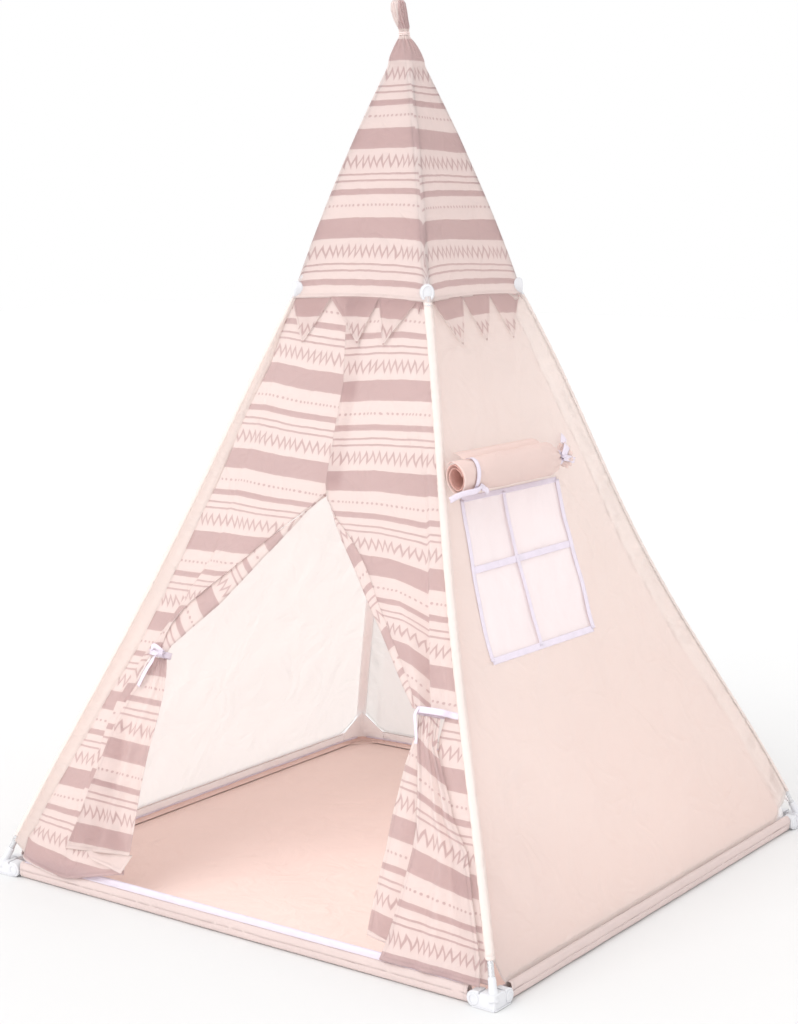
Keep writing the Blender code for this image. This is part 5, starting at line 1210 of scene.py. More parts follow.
# Curtain tails
# The part of each curtain below its tie hangs free, striped cloth with a hem along its foot. It is
# narrow at the tie and opens into soft folds; a narrow flap hangs behind the right one.
LEFT_TAIL_PRINT = np.array([(0.516, 0.0), (0.372, -0.16), (0.228, -0.32), (0.081, -0.48)])
RIGHT_TAIL_PRINT = np.array([(0.468, 0.0), (0.314, -0.16), (0.160, -0.32), (0.0075, -0.48)])
FLAP_PRINT = np.array([(0.345, 0.0), (0.203, -0.16), (0.059, -0.32)])
LEFT_TAIL_EDGES = (
    [(0.402, -0.288), (0.377, -0.297), (0.353, -0.307), (0.334, -0.319), (0.315, -0.326),
     (0.290, -0.335), (0.259, -0.344), (0.231, -0.349), (0.209, -0.353), (0.187, -0.359),
     (0.112, -0.375), (0.064, -0.389)],
    [(0.402, -0.253), (0.377, -0.247), (0.345, -0.243), (0.300, -0.243), (0.250, -0.245),
     (0.190, -0.243), (0.119, -0.238), (0.080, -0.235)],
)
RIGHT_TAIL_EDGES = (
    [(0.380, 0.289), (0.343, 0.297), (0.314, 0.308), (0.268, 0.323), (0.223, 0.336), (0.191, 0.339),
     (0.160, 0.338), (0.105, 0.334), (0.060, 0.328), (0.025, 0.320)],
    [(0.380, 0.329), (0.336, 0.336), (0.292, 0.366), (0.274, 0.379), (0.246, 0.396), (0.203, 0.438),
     (0.176, 0.452), (0.145, 0.466), (0.107, 0.484), (0.066, 0.502), (0.025, 0.512)],
)
FLAP_EDGES = (
    [(0.372, 0.285), (0.309, 0.277), (0.236, 0.276), (0.187, 0.280), (0.088, 0.280),
     (0.050, 0.281)],
    [(0.372, 0.300), (0.309, 0.306), (0.235, 0.328), (0.180, 0.340), (0.085, 0.342),
     (0.050, 0.338)],
)


def tail_patch(edges, levels, table, folds, deep, front, slant, hem, seed):
    """A tail between two edges: its folds are sine waves across it, tight and even at the tie, wide
    and uneven below, and the print slants by a table of heights and falls."""
    share = np.linspace(0, 1, 70)
    left, right = [np.interp(levels, edge[:, 0], edge[:, 1])[:, None] for edge in by_height(edges)]
    across = left * (1 - share) + right * share
    fallen = ((levels[-1] - levels) / (levels[-1] - levels[0]))[:, None]
    bend = share + 0.05 * np.sin(2 * np.pi * share * 1.3 + 3 * fallen)
    wave = np.sin(2 * np.pi * folds * bend + 0.5 * np.sin(4 * fallen + seed))
    fine = np.sin(2 * np.pi * folds * 3 * bend + seed) * np.exp(-fallen * 7)
    opening = np.clip(fallen * 3, 0, 1)
    out = front + deep * (0.35 + 0.65 * opening) * wave + 0.0016 * fine + 0.004 * (1 - opening)
    z = levels[:, None] + (hem[0] * (1 - share) + hem[1] * share) * fallen ** 6
    slanted = np.interp(levels, slant[0], slant[1])[:, None] * share
    uv = np.stack([across + 0.013, print_height(table, levels[:, None] - slanted, 0.0)], -1)
    return grid(on_face("front", across, z, out), uv, ("bottom", "left", "right"))


left_tail = tail_patch(LEFT_TAIL_EDGES, np.linspace(0.068, 0.402, 130), LEFT_TAIL_PRINT,
                       folds=2.2, deep=0.0035, front=0.006, slant=((0.06, 0.40), (-0.006, 0.0)),
                       hem=(0.0, 0.014), seed=1)
left_tail = cloth_piece("left_tail_cloth", [left_tail], striped_cloth, "left_tail",
                        ["left_curtain_tail"])
right_front = tail_patch(RIGHT_TAIL_EDGES, np.linspace(0.029, 0.380, 130), RIGHT_TAIL_PRINT,
                         folds=2.6, deep=0.0035, front=0.0085,
                         slant=((0.03, 0.11, 0.19, 0.38), (0.0, -0.013, -0.026, -0.026)),
                         hem=(0.0, 0.0), seed=2)
right_flap = tail_patch(FLAP_EDGES, np.linspace(0.050, 0.372, 100), FLAP_PRINT, folds=0.8,
                        deep=0.0025, front=-0.0040, slant=((0.05, 0.37), (-0.006, -0.006)),
                        hem=(0.008, 0.0), seed=3)
right_tail = cloth_piece("right_tail_cloth", [right_front, right_flap], striped_cloth,
                         "right_tail", ["right_curtain_tail"])


# Curtain ties
# Lilac polyester ribbon of 11 mm. The right one wraps the gathered curtain and is sewn on at the
# leg; the left one is knotted in front, with one end hanging and one small loop.
RIBBON_WIDTH = 0.011
RIBBON_THICK = 0.0005
LILAC = (0.87, 0.79, 0.89)


def make_rib_group():
    """Ribbon: fine ribs across it as a sine wave of the run, and soft clouding."""
    tree, inside, outside = group_of("ribbed_ribbon", [("Cloth", "NodeSocketVector")],
                                     [("Height", "NodeSocketFloat"), ("Tone", "NodeSocketFloat")])
    cloth = add(tree, "ShaderNodeSeparateXYZ", {0: inside.outputs["Cloth"]})
    ribs = maths(tree, "SINE", maths(tree, "MULTIPLY", cloth.outputs[1], 2 * math.pi / 0.0011))
    cloud = add(tree, "ShaderNodeTexNoise",
                {"Vector": inside.outputs["Cloth"], "Scale": 60.0, "Detail": 2.0})
    pucker = maths(tree, "MULTIPLY", cloud.outputs[0], 0.0012)
    tree.links.new(maths(tree, "MULTIPLY_ADD", ribs, 0.00008, pucker), outside.inputs["Height"])
    tree.links.new(maths(tree, "MULTIPLY_ADD", cloud.outputs[0], 0.16, 0.92),
                   outside.inputs["Tone"])
    return tree


def ribbon_finish(name, colour, rib_group, rough=0.55, through=0.15):
    """Slightly lustrous ribbed ribbon that lets a little light through."""
    material, tree, shader = new_material(name)
    shader.inputs["Roughness"].default_value = rough
    shader.inputs["Sheen Weight"].default_value = 0.15
    place = add(tree, "ShaderNodeTexCoord")
    ribs = add(tree, "ShaderNodeGroup", {"Cloth": place.outputs["UV"]}, node_tree=rib_group)
    toned = add(tree, "ShaderNodeVectorMath", {0: colour, 1: ribs.outputs["Tone"]},
                operation="MULTIPLY")
    bump = add(tree, "ShaderNodeBump", {"Height": ribs.outputs["Height"], "Distance": 1.0})
    tree.links.new(toned.outputs[0], shader.inputs["Base Color"])
    tree.links.new(bump.outputs[0], shader.inputs["Normal"])
    glowing = add(tree, "ShaderNodeBsdfTranslucent",
                  {"Color": toned.outputs[0], "Normal": bump.outputs[0]})
    mixed = add(tree, "ShaderNodeMixShader",
                {0: through, 1: shader.outputs[0], 2: glowing.outputs[0]})
    show(tree, mixed)
    return material


def ribbon_patch(path, sideways, width, steps=40, cup=0.0):
    """A ribbon along a cubic curve through the points of a path; 'sideways' gives the direction of
    its width at each point, and 'cup' bows it across in a parabola."""
    path = np.array(path, float)
    sideways = np.broadcast_to(np.array(sideways, float), path.shape)
    knots = np.concatenate([[0.0], np.cumsum(np.linalg.norm(np.diff(path, axis=0), axis=1))])
    run = np.linspace(0, knots[-1], steps)
    ends = np.gradient(path, knots, axis=0)
    spot = np.clip(np.searchsorted(knots, run, side="right") - 1, 0, len(knots) - 2)
    length = (knots[spot + 1] - knots[spot])[:, None]
    t = (run[:, None] - knots[spot][:, None]) / length
    square, cube = t ** 2, t ** 3
    curve = ((2 * cube - 3 * square + 1) * path[spot] + (cube - 2 * square + t) * length * ends[spot]
             + (-2 * cube + 3 * square) * path[spot + 1]
             + (cube - square) * length * ends[spot + 1])
    side = sideways[spot] * (1 - t) + sideways[spot + 1] * t
    forward = np.gradient(curve, axis=0)
    side = side - forward * (np.sum(side * forward, -1) / np.sum(forward * forward, -1))[:, None]
    side /= np.linalg.norm(side, axis=1, keepdims=True)
    out = np.cross(side, forward)
    out /= np.linalg.norm(out, axis=1, keepdims=True)
    across = np.linspace(-0.5, 0.5, 7)
    points = curve[:, None] + side[:, None] * (across * width)[None, :, None]
    points = points + out[:, None] * (cup * (1 - (2 * across) ** 2))[None, :, None]
    uv = np.stack(np.broadcast_arrays(across * width, run[:, None]), -1)
    return grid(points, uv, ())


def ribbon_piece(name, patches, body, nodes=()):
    """A finished piece of the lilac ribbon on its body."""
    return cloth_piece(name, patches, lilac_ribbon, body, nodes, thick=RIBBON_THICK)


def door_path(spots):
    """Points on the door face from (across, height, depth)."""
    return [on_face("front", across, z, out) for across, z, out in spots]


rib_group = make_rib_group()
lilac_ribbon = ribbon_finish("lilac_ribbon", LILAC, rib_group)
up_face = on_face("front", 0.3, 0.40, 0.0) - on_face("front", 0.3, 0.38, 0.0)
right_wrap = ribbon_patch(door_path([(0.356, 0.3885, 0.002), (0.344, 0.3885, 0.004),
                                     (0.334, 0.3880, 0.0165), (0.310, 0.3875, 0.0200),
                                     (0.287, 0.3870, 0.0165), (0.279, 0.3870, 0.004),
                                     (0.285, 0.3870, -0.010), (0.310, 0.3880, -0.014),
                                     (0.336, 0.3885, -0.010), (0.346, 0.3885, 0.0005)]), up_face,
                          RIBBON_WIDTH, steps=90, cup=0.0006)
right_tie = ribbon_piece("right_tie_ribbon", [right_wrap], "tent", ["right_curtain_tie"])
right_end = ribbon_patch(door_path([(0.2890, 0.391, 0.0185), (0.2865, 0.381, 0.0205),
                                    (0.2910, 0.362, 0.0170), (0.2965, 0.345, 0.0145),
                                    (0.2980, 0.338, 0.0140)]), (1, 0, 0.15), 0.0060, steps=30,
                         cup=0.0008)
right_end = ribbon_piece("right_tie_end", [right_end], "right_tail")
left_tie = [
    ribbon_patch(door_path([(-0.306, 0.411, 0.001), (-0.297, 0.4105, 0.008),
                            (-0.285, 0.4095, 0.0155), (-0.270, 0.4085, 0.0180),
                            (-0.256, 0.4080, 0.010), (-0.254, 0.4080, 0.0),
                            (-0.266, 0.4080, -0.009), (-0.288, 0.4090, -0.008),
                            (-0.302, 0.410, 0.0)]),
                 up_face, RIBBON_WIDTH, steps=90, cup=0.0006),
    ribbon_patch(door_path([(-0.258, 0.409, 0.0165), (-0.267, 0.416, 0.0225),
                            (-0.280, 0.4190, 0.0225), (-0.287, 0.4130, 0.0180),
                            (-0.278, 0.4085, 0.0175), (-0.263, 0.4080, 0.0180)]),
                 (0.3, 0, 0.95), 0.0090, steps=40, cup=0.0006),
    ribbon_patch(door_path([(-0.2605, 0.4155, 0.0170), (-0.2600, 0.4120, 0.0230),
                            (-0.2610, 0.4060, 0.0225),
                            (-0.2620, 0.4020, 0.0165)]), (1, 0, 0.1), 0.0100, steps=24, cup=0.0016),
]
left_tie = ribbon_piece("left_tie_ribbon", left_tie, "tent", ["left_curtain_tie"])
left_end = ribbon_patch(door_path([(-0.2570, 0.411, 0.0180), (-0.2690, 0.404, 0.0215),
                                   (-0.2815, 0.388, 0.0195), (-0.2960, 0.362, 0.0150),
                                   (-0.3010, 0.350, 0.0135)]), (0.8, 0, 0.6), 0.0105, steps=36,
                        cup=0.0010)
left_end = ribbon_piece("left_tie_end", [left_end], "left_tail")


# Window
# A slanted opening in the right wall, filled with fine sheer cloth and framed with lilac ribbon,
# with an upright and a cross bar of the same ribbon over the sheer cloth.
WINDOW_UPRIGHT = {WINDOW_LOW: -0.095, WINDOW_HIGH: -0.067}
CROSSBAR_Z = 0.594
PANE_SEAM = 0.004
PANE_SAG = 0.0020
PANE_BEHIND = 0.0009


def window_side(which, z):
    """Place of the window's left (0) or right (1) side at heights z."""
    share = (z - WINDOW_LOW) / (WINDOW_HIGH - WINDOW_LOW)
    return WINDOW_SIDES[WINDOW_LOW][which] * (1 - share) + WINDOW_SIDES[WINDOW_HIGH][which] * share


def wall_out(across, z):
    """How far off its plane the window's wall is at places and heights."""
    left = leg_place("right", 0, z) + LEG_GAP
    right = leg_place("right", 1, z) - LEG_GAP
    return wall_surface("right", (across - left) / (right - left), z, 70)[1]


def sheer_finish():
    """Sheer cloth: a fifth of it is open between its threads, and they are white-pink and matt."""
    material, tree, shader = new_material("sheer_cloth")
    shader.inputs["Roughness"].default_value = 0.6
    place = add(tree, "ShaderNodeTexCoord")
    edge = add(tree, "ShaderNodeAttribute", attribute_name="edge")
    weave = add(tree, "ShaderNodeGroup",
                {"Cloth": place.outputs["UV"], "Place": place.outputs["Object"],
                 "Edge": edge.outputs["Fac"], "Crease": 0.8}, node_tree=weave_group)
    toned = add(tree, "ShaderNodeVectorMath", {0: (0.98, 0.94, 0.95), 1: weave.outputs["Tone"]},
                operation="MULTIPLY")
    bump = add(tree, "ShaderNodeBump", {"Height": weave.outputs["Height"], "Distance": 1.0})
    tree.links.new(toned.outputs[0], shader.inputs["Base Color"])
    tree.links.new(bump.outputs[0], shader.inputs["Normal"])
    glowing = add(tree, "ShaderNodeBsdfTranslucent", {"Color": toned.outputs[0]})
    threads = add(tree, "ShaderNodeMixShader",
                  {0: 0.5, 1: shader.outputs[0], 2: glowing.outputs[0]})
    clear = add(tree, "ShaderNodeBsdfTransparent", {"Color": (1.0, 0.97, 0.98, 1)})
    mixed = add(tree, "ShaderNodeMixShader", {0: 0.22, 1: threads.outputs[0], 2: clear.outputs[0]})
    show(tree, mixed)
    return material


z, share = np.meshgrid(np.linspace(WINDOW_LOW - PANE_SEAM, WINDOW_HIGH + PANE_SEAM, 60),
                       np.linspace(0, 1, 60), indexing="ij")
left = window_side(0, z) - PANE_SEAM
across = left + (window_side(1, z) + PANE_SEAM - left) * share
sag = -PANE_SAG * np.sin(np.pi * share)
sag = sag * np.sin(np.pi * (z - WINDOW_LOW) / (WINDOW_HIGH - WINDOW_LOW))
out = wall_out(across, z) + sag - PANE_BEHIND + 0.0010 * waves(across, z, 0.12, 400)
points = on_face("right", across, z, out)
pane = cloth_piece("window_sheer", [grid(points, np.stack([across, z], -1), ())], sheer_finish(),
                   "tent", ["window_pane"], thick=0.0003)


def window_path(spots, out):
    """Points on the window's wall from (across, height), close together along straight runs."""
    spots = np.array(spots)
    knots = np.concatenate([[0.0], np.cumsum(np.hypot(*np.diff(spots, axis=0).T))])
    run = np.linspace(0, knots[-1], 24)
    across, z = [np.interp(run, knots, spots[:, kind]) for kind in (0, 1)]
    return on_face("right", across, z,
                   wall_out(across, z) + out + 0.0003 * waves(across, z, 0.05, 410))


low_left, low_right = [(window_side(which, WINDOW_LOW), WINDOW_LOW) for which in (0, 1)]
high_left, high_right = [(window_side(which, WINDOW_HIGH), WINDOW_HIGH) for which in (0, 1)]
level_way = FACES["right"][2]
upright_way = on_face("right", -0.06, 0.60, 0.0) - on_face("right", -0.06, 0.56, 0.0)
upright_way = upright_way / np.linalg.norm(upright_way)
bar_left, bar_right = [(window_side(which, CROSSBAR_Z), CROSSBAR_Z + fall)
                       for which, fall in ((0, -0.002), (1, 0.001))]
bar_foot, bar_head = [(WINDOW_UPRIGHT[height], height) for height in (WINDOW_LOW, WINDOW_HIGH)]
tapes = [ribbon_patch(window_path([start, end], out), sideways, width, steps=60, cup=0.0004)
         for start, end, out, sideways, width in (
             (low_left, low_right, 0.0010, upright_way, 0.0115),
             (high_left, high_right, 0.0010, upright_way, 0.0095),
             (low_left, high_left, 0.0016, -level_way, 0.0095),
             (low_right, high_right, 0.0016, -level_way, 0.0115),
             (bar_left, bar_right, 0.0008, upright_way, 0.0120),
             (bar_foot, bar_head, 0.0012, -level_way, 0.0090))]
tape = ribbon_piece("window_ribbon", tapes, "tent", ["window_tape"])


# Rolled blind
# The window's cover, sewn on above the window, rolled up and tied with two ribbons: one round the
# front part, one drawn tight near the rear end, so that the roll is gathered there.
BLIND_Z = 0.741
BLIND_OUT = 0.027
BLIND_FRONT = -0.234
FRONT_TIE_AT = -0.186
REAR_TIE_AT = 0.077
BLIND_LONG = np.array([(BLIND_FRONT, 0.93), (-0.206, 0.98), (FRONT_TIE_AT, 0.90), (-0.166, 1.00),
                       (-0.060, 1.06), (0.020, 1.04), (0.044, 1.00), (0.058, 0.84), (0.068, 0.56),
                       (REAR_TIE_AT, 0.38), (0.087, 0.52), (0.102, 0.78)])
BLIND_COLOUR = (0.93, 0.745, 0.695)
# Painted shade: the roll's inner turns take a deeper coral for the dim hollow inside the roll.
INNER_TURNS_SHADE_COLOUR = (0.97, 0.63, 0.56)
FLAP_FRONT, FLAP_REAR = -0.188, 0.046
ROLL_HALF_DEEP = 0.0225
ROLL_HALF_TALL = 0.0300
ROLL_TURNS = 2.3
ROLL_ANGLE = 2 * np.pi * ROLL_TURNS
FLAP_STEPS = 120


def roll_axes(across):
    """Middle of the roll at places along the wall, and its directions off the wall and up it."""
    middle = on_face("right", across, BLIND_Z, BLIND_OUT)
    off = on_face("right", across, BLIND_Z, BLIND_OUT + 0.01) - middle
    off = off / np.linalg.norm(off, axis=-1, keepdims=True)
    return middle, off, np.cross(off, FACES["right"][2])


def rolled_cloth(across, turn):
    """The roll's surface: a spiral of several turns whose radius shrinks inwards, oval and a little
    lumpy, scaled along its length and pleated with fine gathers at the tied end."""
    middle, off, up = roll_axes(across)
    wound = turn / ROLL_ANGLE
    size = np.interp(across, BLIND_LONG[:, 0], BLIND_LONG[:, 1])
    angle = turn - ROLL_ANGLE + np.pi * 0.62
    gather = np.clip((across - 0.025) / 0.04, 0, 1)
    front_tie = np.exp(-((across - FRONT_TIE_AT) / 0.022) ** 2)
    lumps = 1 + 0.030 * waves(np.cos(angle) * 0.03 + across * 0.5, np.sin(angle) * 0.03, 0.05, 420)
    lumps = lumps + 0.13 * gather * np.sin(11 * angle + 4 * across)
    lumps = lumps + 0.02 * front_tie * np.sin(9 * angle)
    radius = size * lumps * (0.52 + 0.48 * wound ** 0.8)
    deep = ROLL_HALF_DEEP * radius * np.cos(angle)
    tall = ROLL_HALF_TALL * radius * np.sin(angle)
    return middle + off * deep[..., None] + up * tall[..., None]


def make_step_group(name, slope, offset):
    """A second tone over part of the cloth: a step along its length, soft by the slope."""
    tree, inside, outside = group_of(name, [("Cloth", "NodeSocketVector")],
                                     [("Ink", "NodeSocketFloat")])
    cloth = add(tree, "ShaderNodeSeparateXYZ", {0: inside.outputs["Cloth"]})
    step = maths(tree, "MULTIPLY_ADD", cloth.outputs[1], slope, offset, clamp=True)
    tree.links.new(step, outside.inputs["Ink"])
    return tree


along, turn = np.meshgrid(np.linspace(0, 1, 150), np.linspace(0, ROLL_ANGLE, 170), indexing="ij")
wound = turn / ROLL_ANGLE
across = BLIND_FRONT + 0.006 * (1 - wound) + (0.336 - 0.012 * (1 - wound)) * along
points = rolled_cloth(across, turn)
uv = np.stack([across, turn * 0.022], -1)
roll_patch = grid(points[:, ::-1], uv[:, ::-1], ("bottom", "top"))
flap_share = np.linspace(0, 1, 16)
flap_across = np.linspace(FLAP_FRONT, FLAP_REAR, FLAP_STEPS)
last = rolled_cloth(flap_across, np.full(FLAP_STEPS, ROLL_ANGLE))
middle, off, up = roll_axes(flap_across)
sewn = on_face("right", flap_across, BLIND_Z + 0.0415, 0.0022)
before = last + up * 0.012 - off * 0.004
t = flap_share[None, :, None]
flap = last[:, None] * (1 - t) ** 2 + before[:, None] * 2 * t * (1 - t) + sewn[:, None] * t ** 2
ripple = 0.0007 * np.sin(flap_across * 150)[:, None] * np.sin(np.pi * flap_share)
flap = flap + off[:, None] * ripple[..., None]
flap_uv = np.stack(np.broadcast_arrays(flap_across[:, None], 0.35 + 0.03 * flap_share[None]), -1)
flap_patch = grid(flap, flap_uv, ("right",))
# The innermost turn and a third of the roll get the coral as painted shade.
inner_turns = make_step_group("inner_turns", -60.0, 12.0)
blind_cloth = cloth_finish("blind_cloth", BLIND_COLOUR, through=0.40, print_group=inner_turns,
                           ink=INNER_TURNS_SHADE_COLOUR)
blind = cloth_piece("rolled_blind", [roll_patch, flap_patch], blind_cloth, "blind",
                    ["window_blind"])


def round_roll(across, angles, grow, slant=0.0):
    """Points on the roll's outside at a place along it, a little outside the cloth; slant carries
    them along the roll with the angle."""
    angles = np.asarray(angles, float)
    spots = across + slant * np.sin(angles)
    middle, off, up = roll_axes(spots)
    size = np.interp(spots, BLIND_LONG[:, 0], BLIND_LONG[:, 1])
    deep = (ROLL_HALF_DEEP * size + grow) * np.cos(angles)
    tall = (ROLL_HALF_TALL * size + grow) * np.sin(angles)
    return middle + off * deep[:, None] + up * tall[:, None]


turning = np.radians(np.linspace(100, -215, 22))
knot = round_roll(FRONT_TIE_AT, [np.radians(-50)], 0.0030)[0]
front_tie = [
    ribbon_patch(round_roll(-0.194, turning, 0.0014, 0.012), level_way, 0.0100, steps=90,
                 cup=0.0004),
    ribbon_patch([knot + (0, -0.004, 0.004), knot + (0.004, 0, 0), knot + (0.002, 0.005, -0.006)],
                 (0, 0.8, 0.5), 0.0100, steps=16, cup=0.0020),
    ribbon_patch([knot + (0.001, -0.002, 0), knot + (0.005, -0.020, -0.003),
                  knot + (0.002, -0.042, -0.004), knot + (-0.002, -0.062, -0.006),
                  knot + (-0.010, -0.078, -0.013)], (0.2, 0.1, 1), 0.0110, steps=40, cup=0.0012),
    ribbon_patch([knot + (0.001, 0.001, -0.001), knot + (0.004, 0.010, -0.006),
                  knot + (0.001, 0.018, -0.013)],
                 (0.2, 0.6, 0.8), 0.0090, steps=20, cup=0.0010),
]
front_tie = ribbon_piece("blind_ribbon_front", front_tie, "blind", ["blind_tie_front"])
turning = np.radians(np.linspace(200, -165, 24))
knot = round_roll(REAR_TIE_AT, [np.radians(-8)], 0.0035)[0]
top_spot = on_face("right", 0.149, 0.7760, 0.0035)
rear_tie = [
    ribbon_patch(round_roll(REAR_TIE_AT, turning, 0.0014), level_way, 0.0095, steps=90, cup=0.0004),
    ribbon_patch([knot + (0, -0.003, 0.004), knot + (0.004, 0, 0), knot + (0.001, 0.003, -0.005)],
                 (0, 0.9, 0.3), 0.0100, steps=16, cup=0.0020),
    ribbon_patch([knot + (0.001, 0.001, 0.001), knot + (0.0, 0.010, 0.014),
                  knot * 0.35 + top_spot * 0.65,
                  top_spot], (0.1, 0.9, -0.5), 0.0160, steps=30, cup=0.0008),
    ribbon_patch([knot + (0.001, 0.001, -0.001), knot + (0.003, 0.016, -0.004),
                  knot + (0.001, 0.032, -0.009),
                  knot + (-0.002, 0.043, -0.010)], (0.2, 0.1, 1), 0.0110, steps=26, cup=0.0010),
]
rear_tie = ribbon_piece("blind_ribbon_rear", rear_tie, "blind", ["blind_tie_rear"])


# Floor mat
# A square of thicker cloth sewn in along its edge to the base channels. The seams are bound with
# lilac tape, which stands up a little along the door sill.
MAT_HALF = 0.5205
MAT_TOP = 0.0030
CORNER_OFF = 0.045
FLOOR_COLOUR = (0.88, 0.68, 0.62)


def rounded_square(first, second, half, cut):
    """A square grid with its corners drawn in: past a diagonal the points slide to the cut."""
    x, y = second * half, first * half
    over = np.maximum(np.abs(x) + np.abs(y) - (2 * half - cut), 0)
    return x - np.sign(x) * over / 2, y - np.sign(y) * over / 2


first, second = np.meshgrid(np.linspace(-1, 1, 150), np.linspace(-1, 1, 150), indexing="ij")
x, y = rounded_square(first, second, MAT_HALF, CORNER_OFF)
calm = np.clip((MAT_HALF - np.maximum(np.abs(x), np.abs(y))) / 0.04, 0, 1)
z = MAT_TOP + 0.0016 * calm * (1 + waves(x, y, 0.26, 500))
z = z + 0.0007 * calm * (1 + waves(x * 2, y, 0.09, 501))
mat_cloth = cloth_finish("mat_cloth", FLOOR_COLOUR, through=0.0, crease=0.8)
mat = cloth_piece("floor_cloth", [grid(np.stack([x, y, z], -1), np.stack([x, y], -1))], mat_cloth,
                  "tent", ["floor_mat"], thick=0.0012)

tape_patches = []
for number, face in enumerate(FACES):
    run = np.linspace(-0.478, 0.478, 160) * (1.0 if face == "front" else 1.045)
    if face == "front":
        profile = np.array([(-0.0190, 0.0062), (-0.0110, 0.0080), (-0.0090, 0.0200),
                            (-0.0105, 0.0345), (-0.0085, 0.0372), (-0.0065, 0.0340),
                            (-0.0040, 0.0300), (0.0030, 0.0296)])
    else:
        profile = np.array([(-0.0112, 0.0142), (-0.0120, 0.0160), (-0.0118, 0.0178)])
    ease = 0.0006 * waves(run[:, None], 0 * run[:, None] + 0.01 * np.arange(len(profile)), 0.07,
                          510 + number)
    drawn_in = 0.0045 * np.clip((np.abs(run) - 0.455) / 0.045, 0, 1)[:, None] * (face != "front")
    out = BASE_HALF + profile[:, 0] + ease - drawn_in
    spots = FACES[face][2] * run[:, None, None] + away_from(face) * out[..., None]
    spots = spots + UP * (profile[:, 1] + 0.5 * ease)[..., None]
    step = np.concatenate([[0.0], np.cumsum(np.hypot(*np.diff(profile, axis=0).T))])
    uv = np.stack(np.broadcast_arrays(step, run[:, None]), -1)
    tape_patches.append(grid(spots[:, ::-1], uv[:, ::-1], ()))
binding = ribbon_piece("binding_tape", tape_patches, "tent", ["floor_binding"])


# Inner lining
# Inside, the mat's edge turns up to the lilac tape; above it a strip of close cloth covers each base
# channel, another the seam along each rear leg, and a gusset each rear corner, so that tubes and
# connectors don't show. Their near-white colour is painted light, for the glow that comes in through
# the walls.
TURN_UP = 0.0150
# Near white, paler than the wall cloth: painted light for the glow that comes in through the walls.
LINING_PAINTED_PALE_COLOUR = (0.98, 0.94, 0.94)
LINING_FOOT_Z = 0.0045
LEG_STRIP_HALF_ANGLE = np.radians(62)
LINING_TURN = np.array([-1.0, -0.5, -0.15, 0.0, 0.15, 0.5, 1.0])
LINING_MAT = np.array([(0.5172, 0.4530), (0.5165, 0.4725), (0.4990, 0.4905), (0.4948, 0.4948),
                       (0.4905, 0.4990), (0.4725, 0.5165), (0.4530, 0.5172)])
LINING_FOOT = np.array([(0.5212, 0.4550), (0.5205, 0.4900), (0.5185, 0.5100), (0.5155, 0.5155),
                        (0.5100, 0.5185), (0.4900, 0.5205), (0.4550, 0.5212)])
LINING_TOP = np.array([(0.5172, 0.4560), (0.5045, 0.4930), (0.5000, 0.4980), (0.4975, 0.4975),
                       (0.4980, 0.5000), (0.4930, 0.5045), (0.4560, 0.5172)])
LINING_RISE = np.array([0.0330, 0.0680, 0.0740, 0.0760, 0.0740, 0.0680, 0.0330])

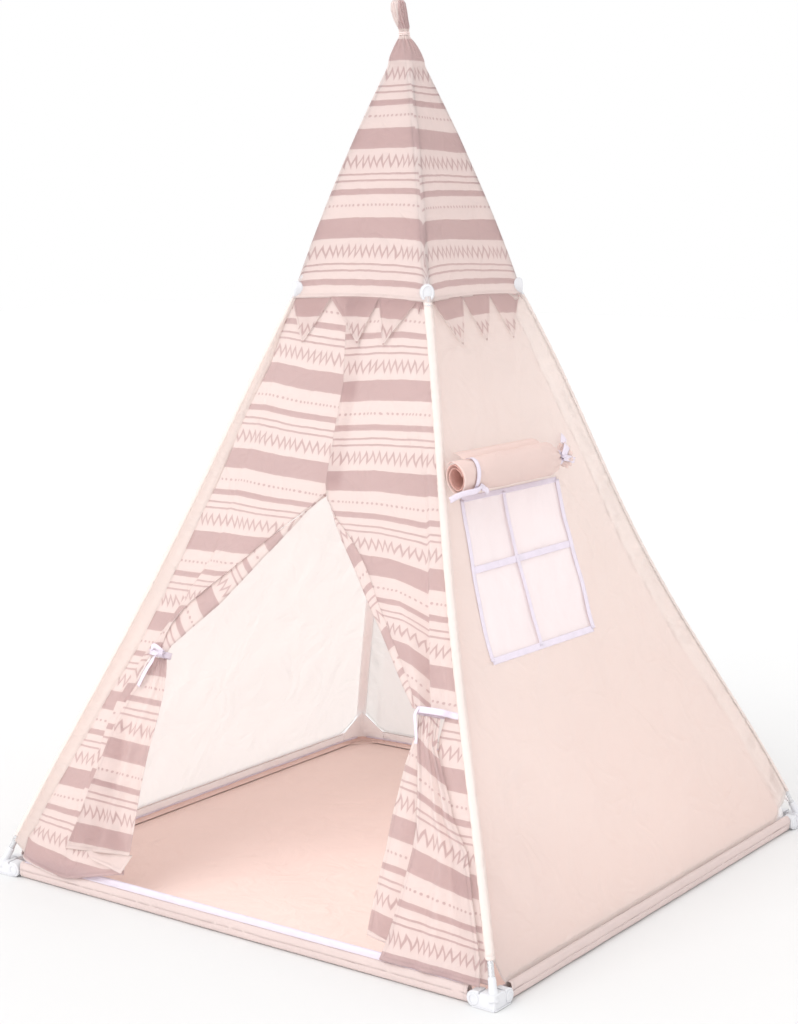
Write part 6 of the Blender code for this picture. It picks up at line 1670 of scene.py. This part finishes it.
lining_patches = []
for corner in ("rear_right", "rear_left"):
    turn, rise = np.meshgrid(np.linspace(-1, 1, 61), np.linspace(0, 1, 40), indexing="ij")
    outwards = np.clip(rise / 0.3, 0, 1)
    upwards = np.clip((rise - 0.3) / 0.7, 0, 1)
    sides = []
    for kind in (0, 1):
        mat_side, foot_side, top_side = [np.interp(turn, LINING_TURN, table[:, kind])
                                         for table in (LINING_MAT, LINING_FOOT, LINING_TOP)]
        low = mat_side * (1 - outwards) + foot_side * (outwards - upwards)
        sides.append(low + top_side * upwards)
    z = LINING_FOOT_Z + (np.interp(turn, LINING_TURN, LINING_RISE) - LINING_FOOT_Z) * upwards
    sign_x, sign_y = CORNERS[corner]
    points = np.stack([sign_x * sides[0], sign_y * sides[1], z], -1)
    uv = np.stack([turn * 0.05, z], -1)
    if sign_x > 0:
        points, uv = points[::-1], uv[::-1]
    lining_patches.append(grid(points, uv, ()))
    z, share = np.meshgrid(np.linspace(0.050, 1.02, 120), np.linspace(-1, 1, 11), indexing="ij")
    axis = leg_axis(corner, z)
    round_in = LEG_STRIP_HALF_ANGLE * share
    reach = 0.0084 + 0.0030 * np.abs(share) ** 2
    inwards = -np.array([sign_x, sign_y, 0.0]) / math.sqrt(2)
    points = axis + inwards * (reach * np.cos(round_in))[..., None]
    points = points + np.cross(UP, inwards) * (reach * np.sin(round_in))[..., None]
    lining_patches.append(grid(points, np.stack([share * 0.008, z], -1), ()))
for face in ("right", "rear", "left"):
    run, rise = np.meshgrid(np.linspace(-0.480, 0.480, 120), np.linspace(0, 1, 16), indexing="ij")
    inner = BASE_HALF - 0.0088 - 0.0034 * rise + 0.0004 * waves(run, rise * 0.02, 0.07, 640)
    inner = inner - 0.0040 * np.clip(1 - rise / 0.12, 0, 1)
    z = 0.0048 + 0.0262 * rise
    points = FACES[face][2] * run[..., None] + away_from(face) * inner[..., None]
    points = points + UP * z[..., None]
    lining_patches.append(grid(points, np.stack([run, z], -1), ()))
turned_up_edge = make_step_group("turned_up_edge", -2500.0, 2500.0 * TURN_UP + 0.5)
lining_cloth = cloth_finish("lining_cloth", LINING_PAINTED_PALE_COLOUR, through=0.0, print_group=turned_up_edge,
                            ink=FLOOR_COLOUR)
lining = cloth_piece("inner_lining", lining_patches, lining_cloth, "tent")


# Peak tie
# A thin cord in the cloth's own colour, wound two and a half times round the gathered top of the
# cap and pulled tight, so that the cloth above it stands up as a tuft.
CORD_RADIUS = 0.0013
CORD_TURNS = 2.6
CORD_LOW = 1.4845
CORD_PITCH = 0.0028
NECK_RADIUS = 0.0086
NECK_LEAN = 0.0034
turn = np.linspace(0, 2 * np.pi * CORD_TURNS, 150)
height = CORD_LOW + CORD_PITCH * turn / (2 * np.pi)
centre = np.stack([NECK_RADIUS * np.cos(turn), NECK_RADIUS * np.sin(turn), height], -1)
centre = centre + TUFT_LEAN * NECK_LEAN
cord_mesh = tube_mesh("peak_cord", centre, CORD_RADIUS * (1 + 0.12 * np.sin(turn * 26)), 10)
cord_cloth = cloth_finish("tie_cord", (0.78, 0.64, 0.61), through=0.0, crease=0.0)
firm_piece("peak_cord", [cord_mesh], cord_cloth, "peak_tie")
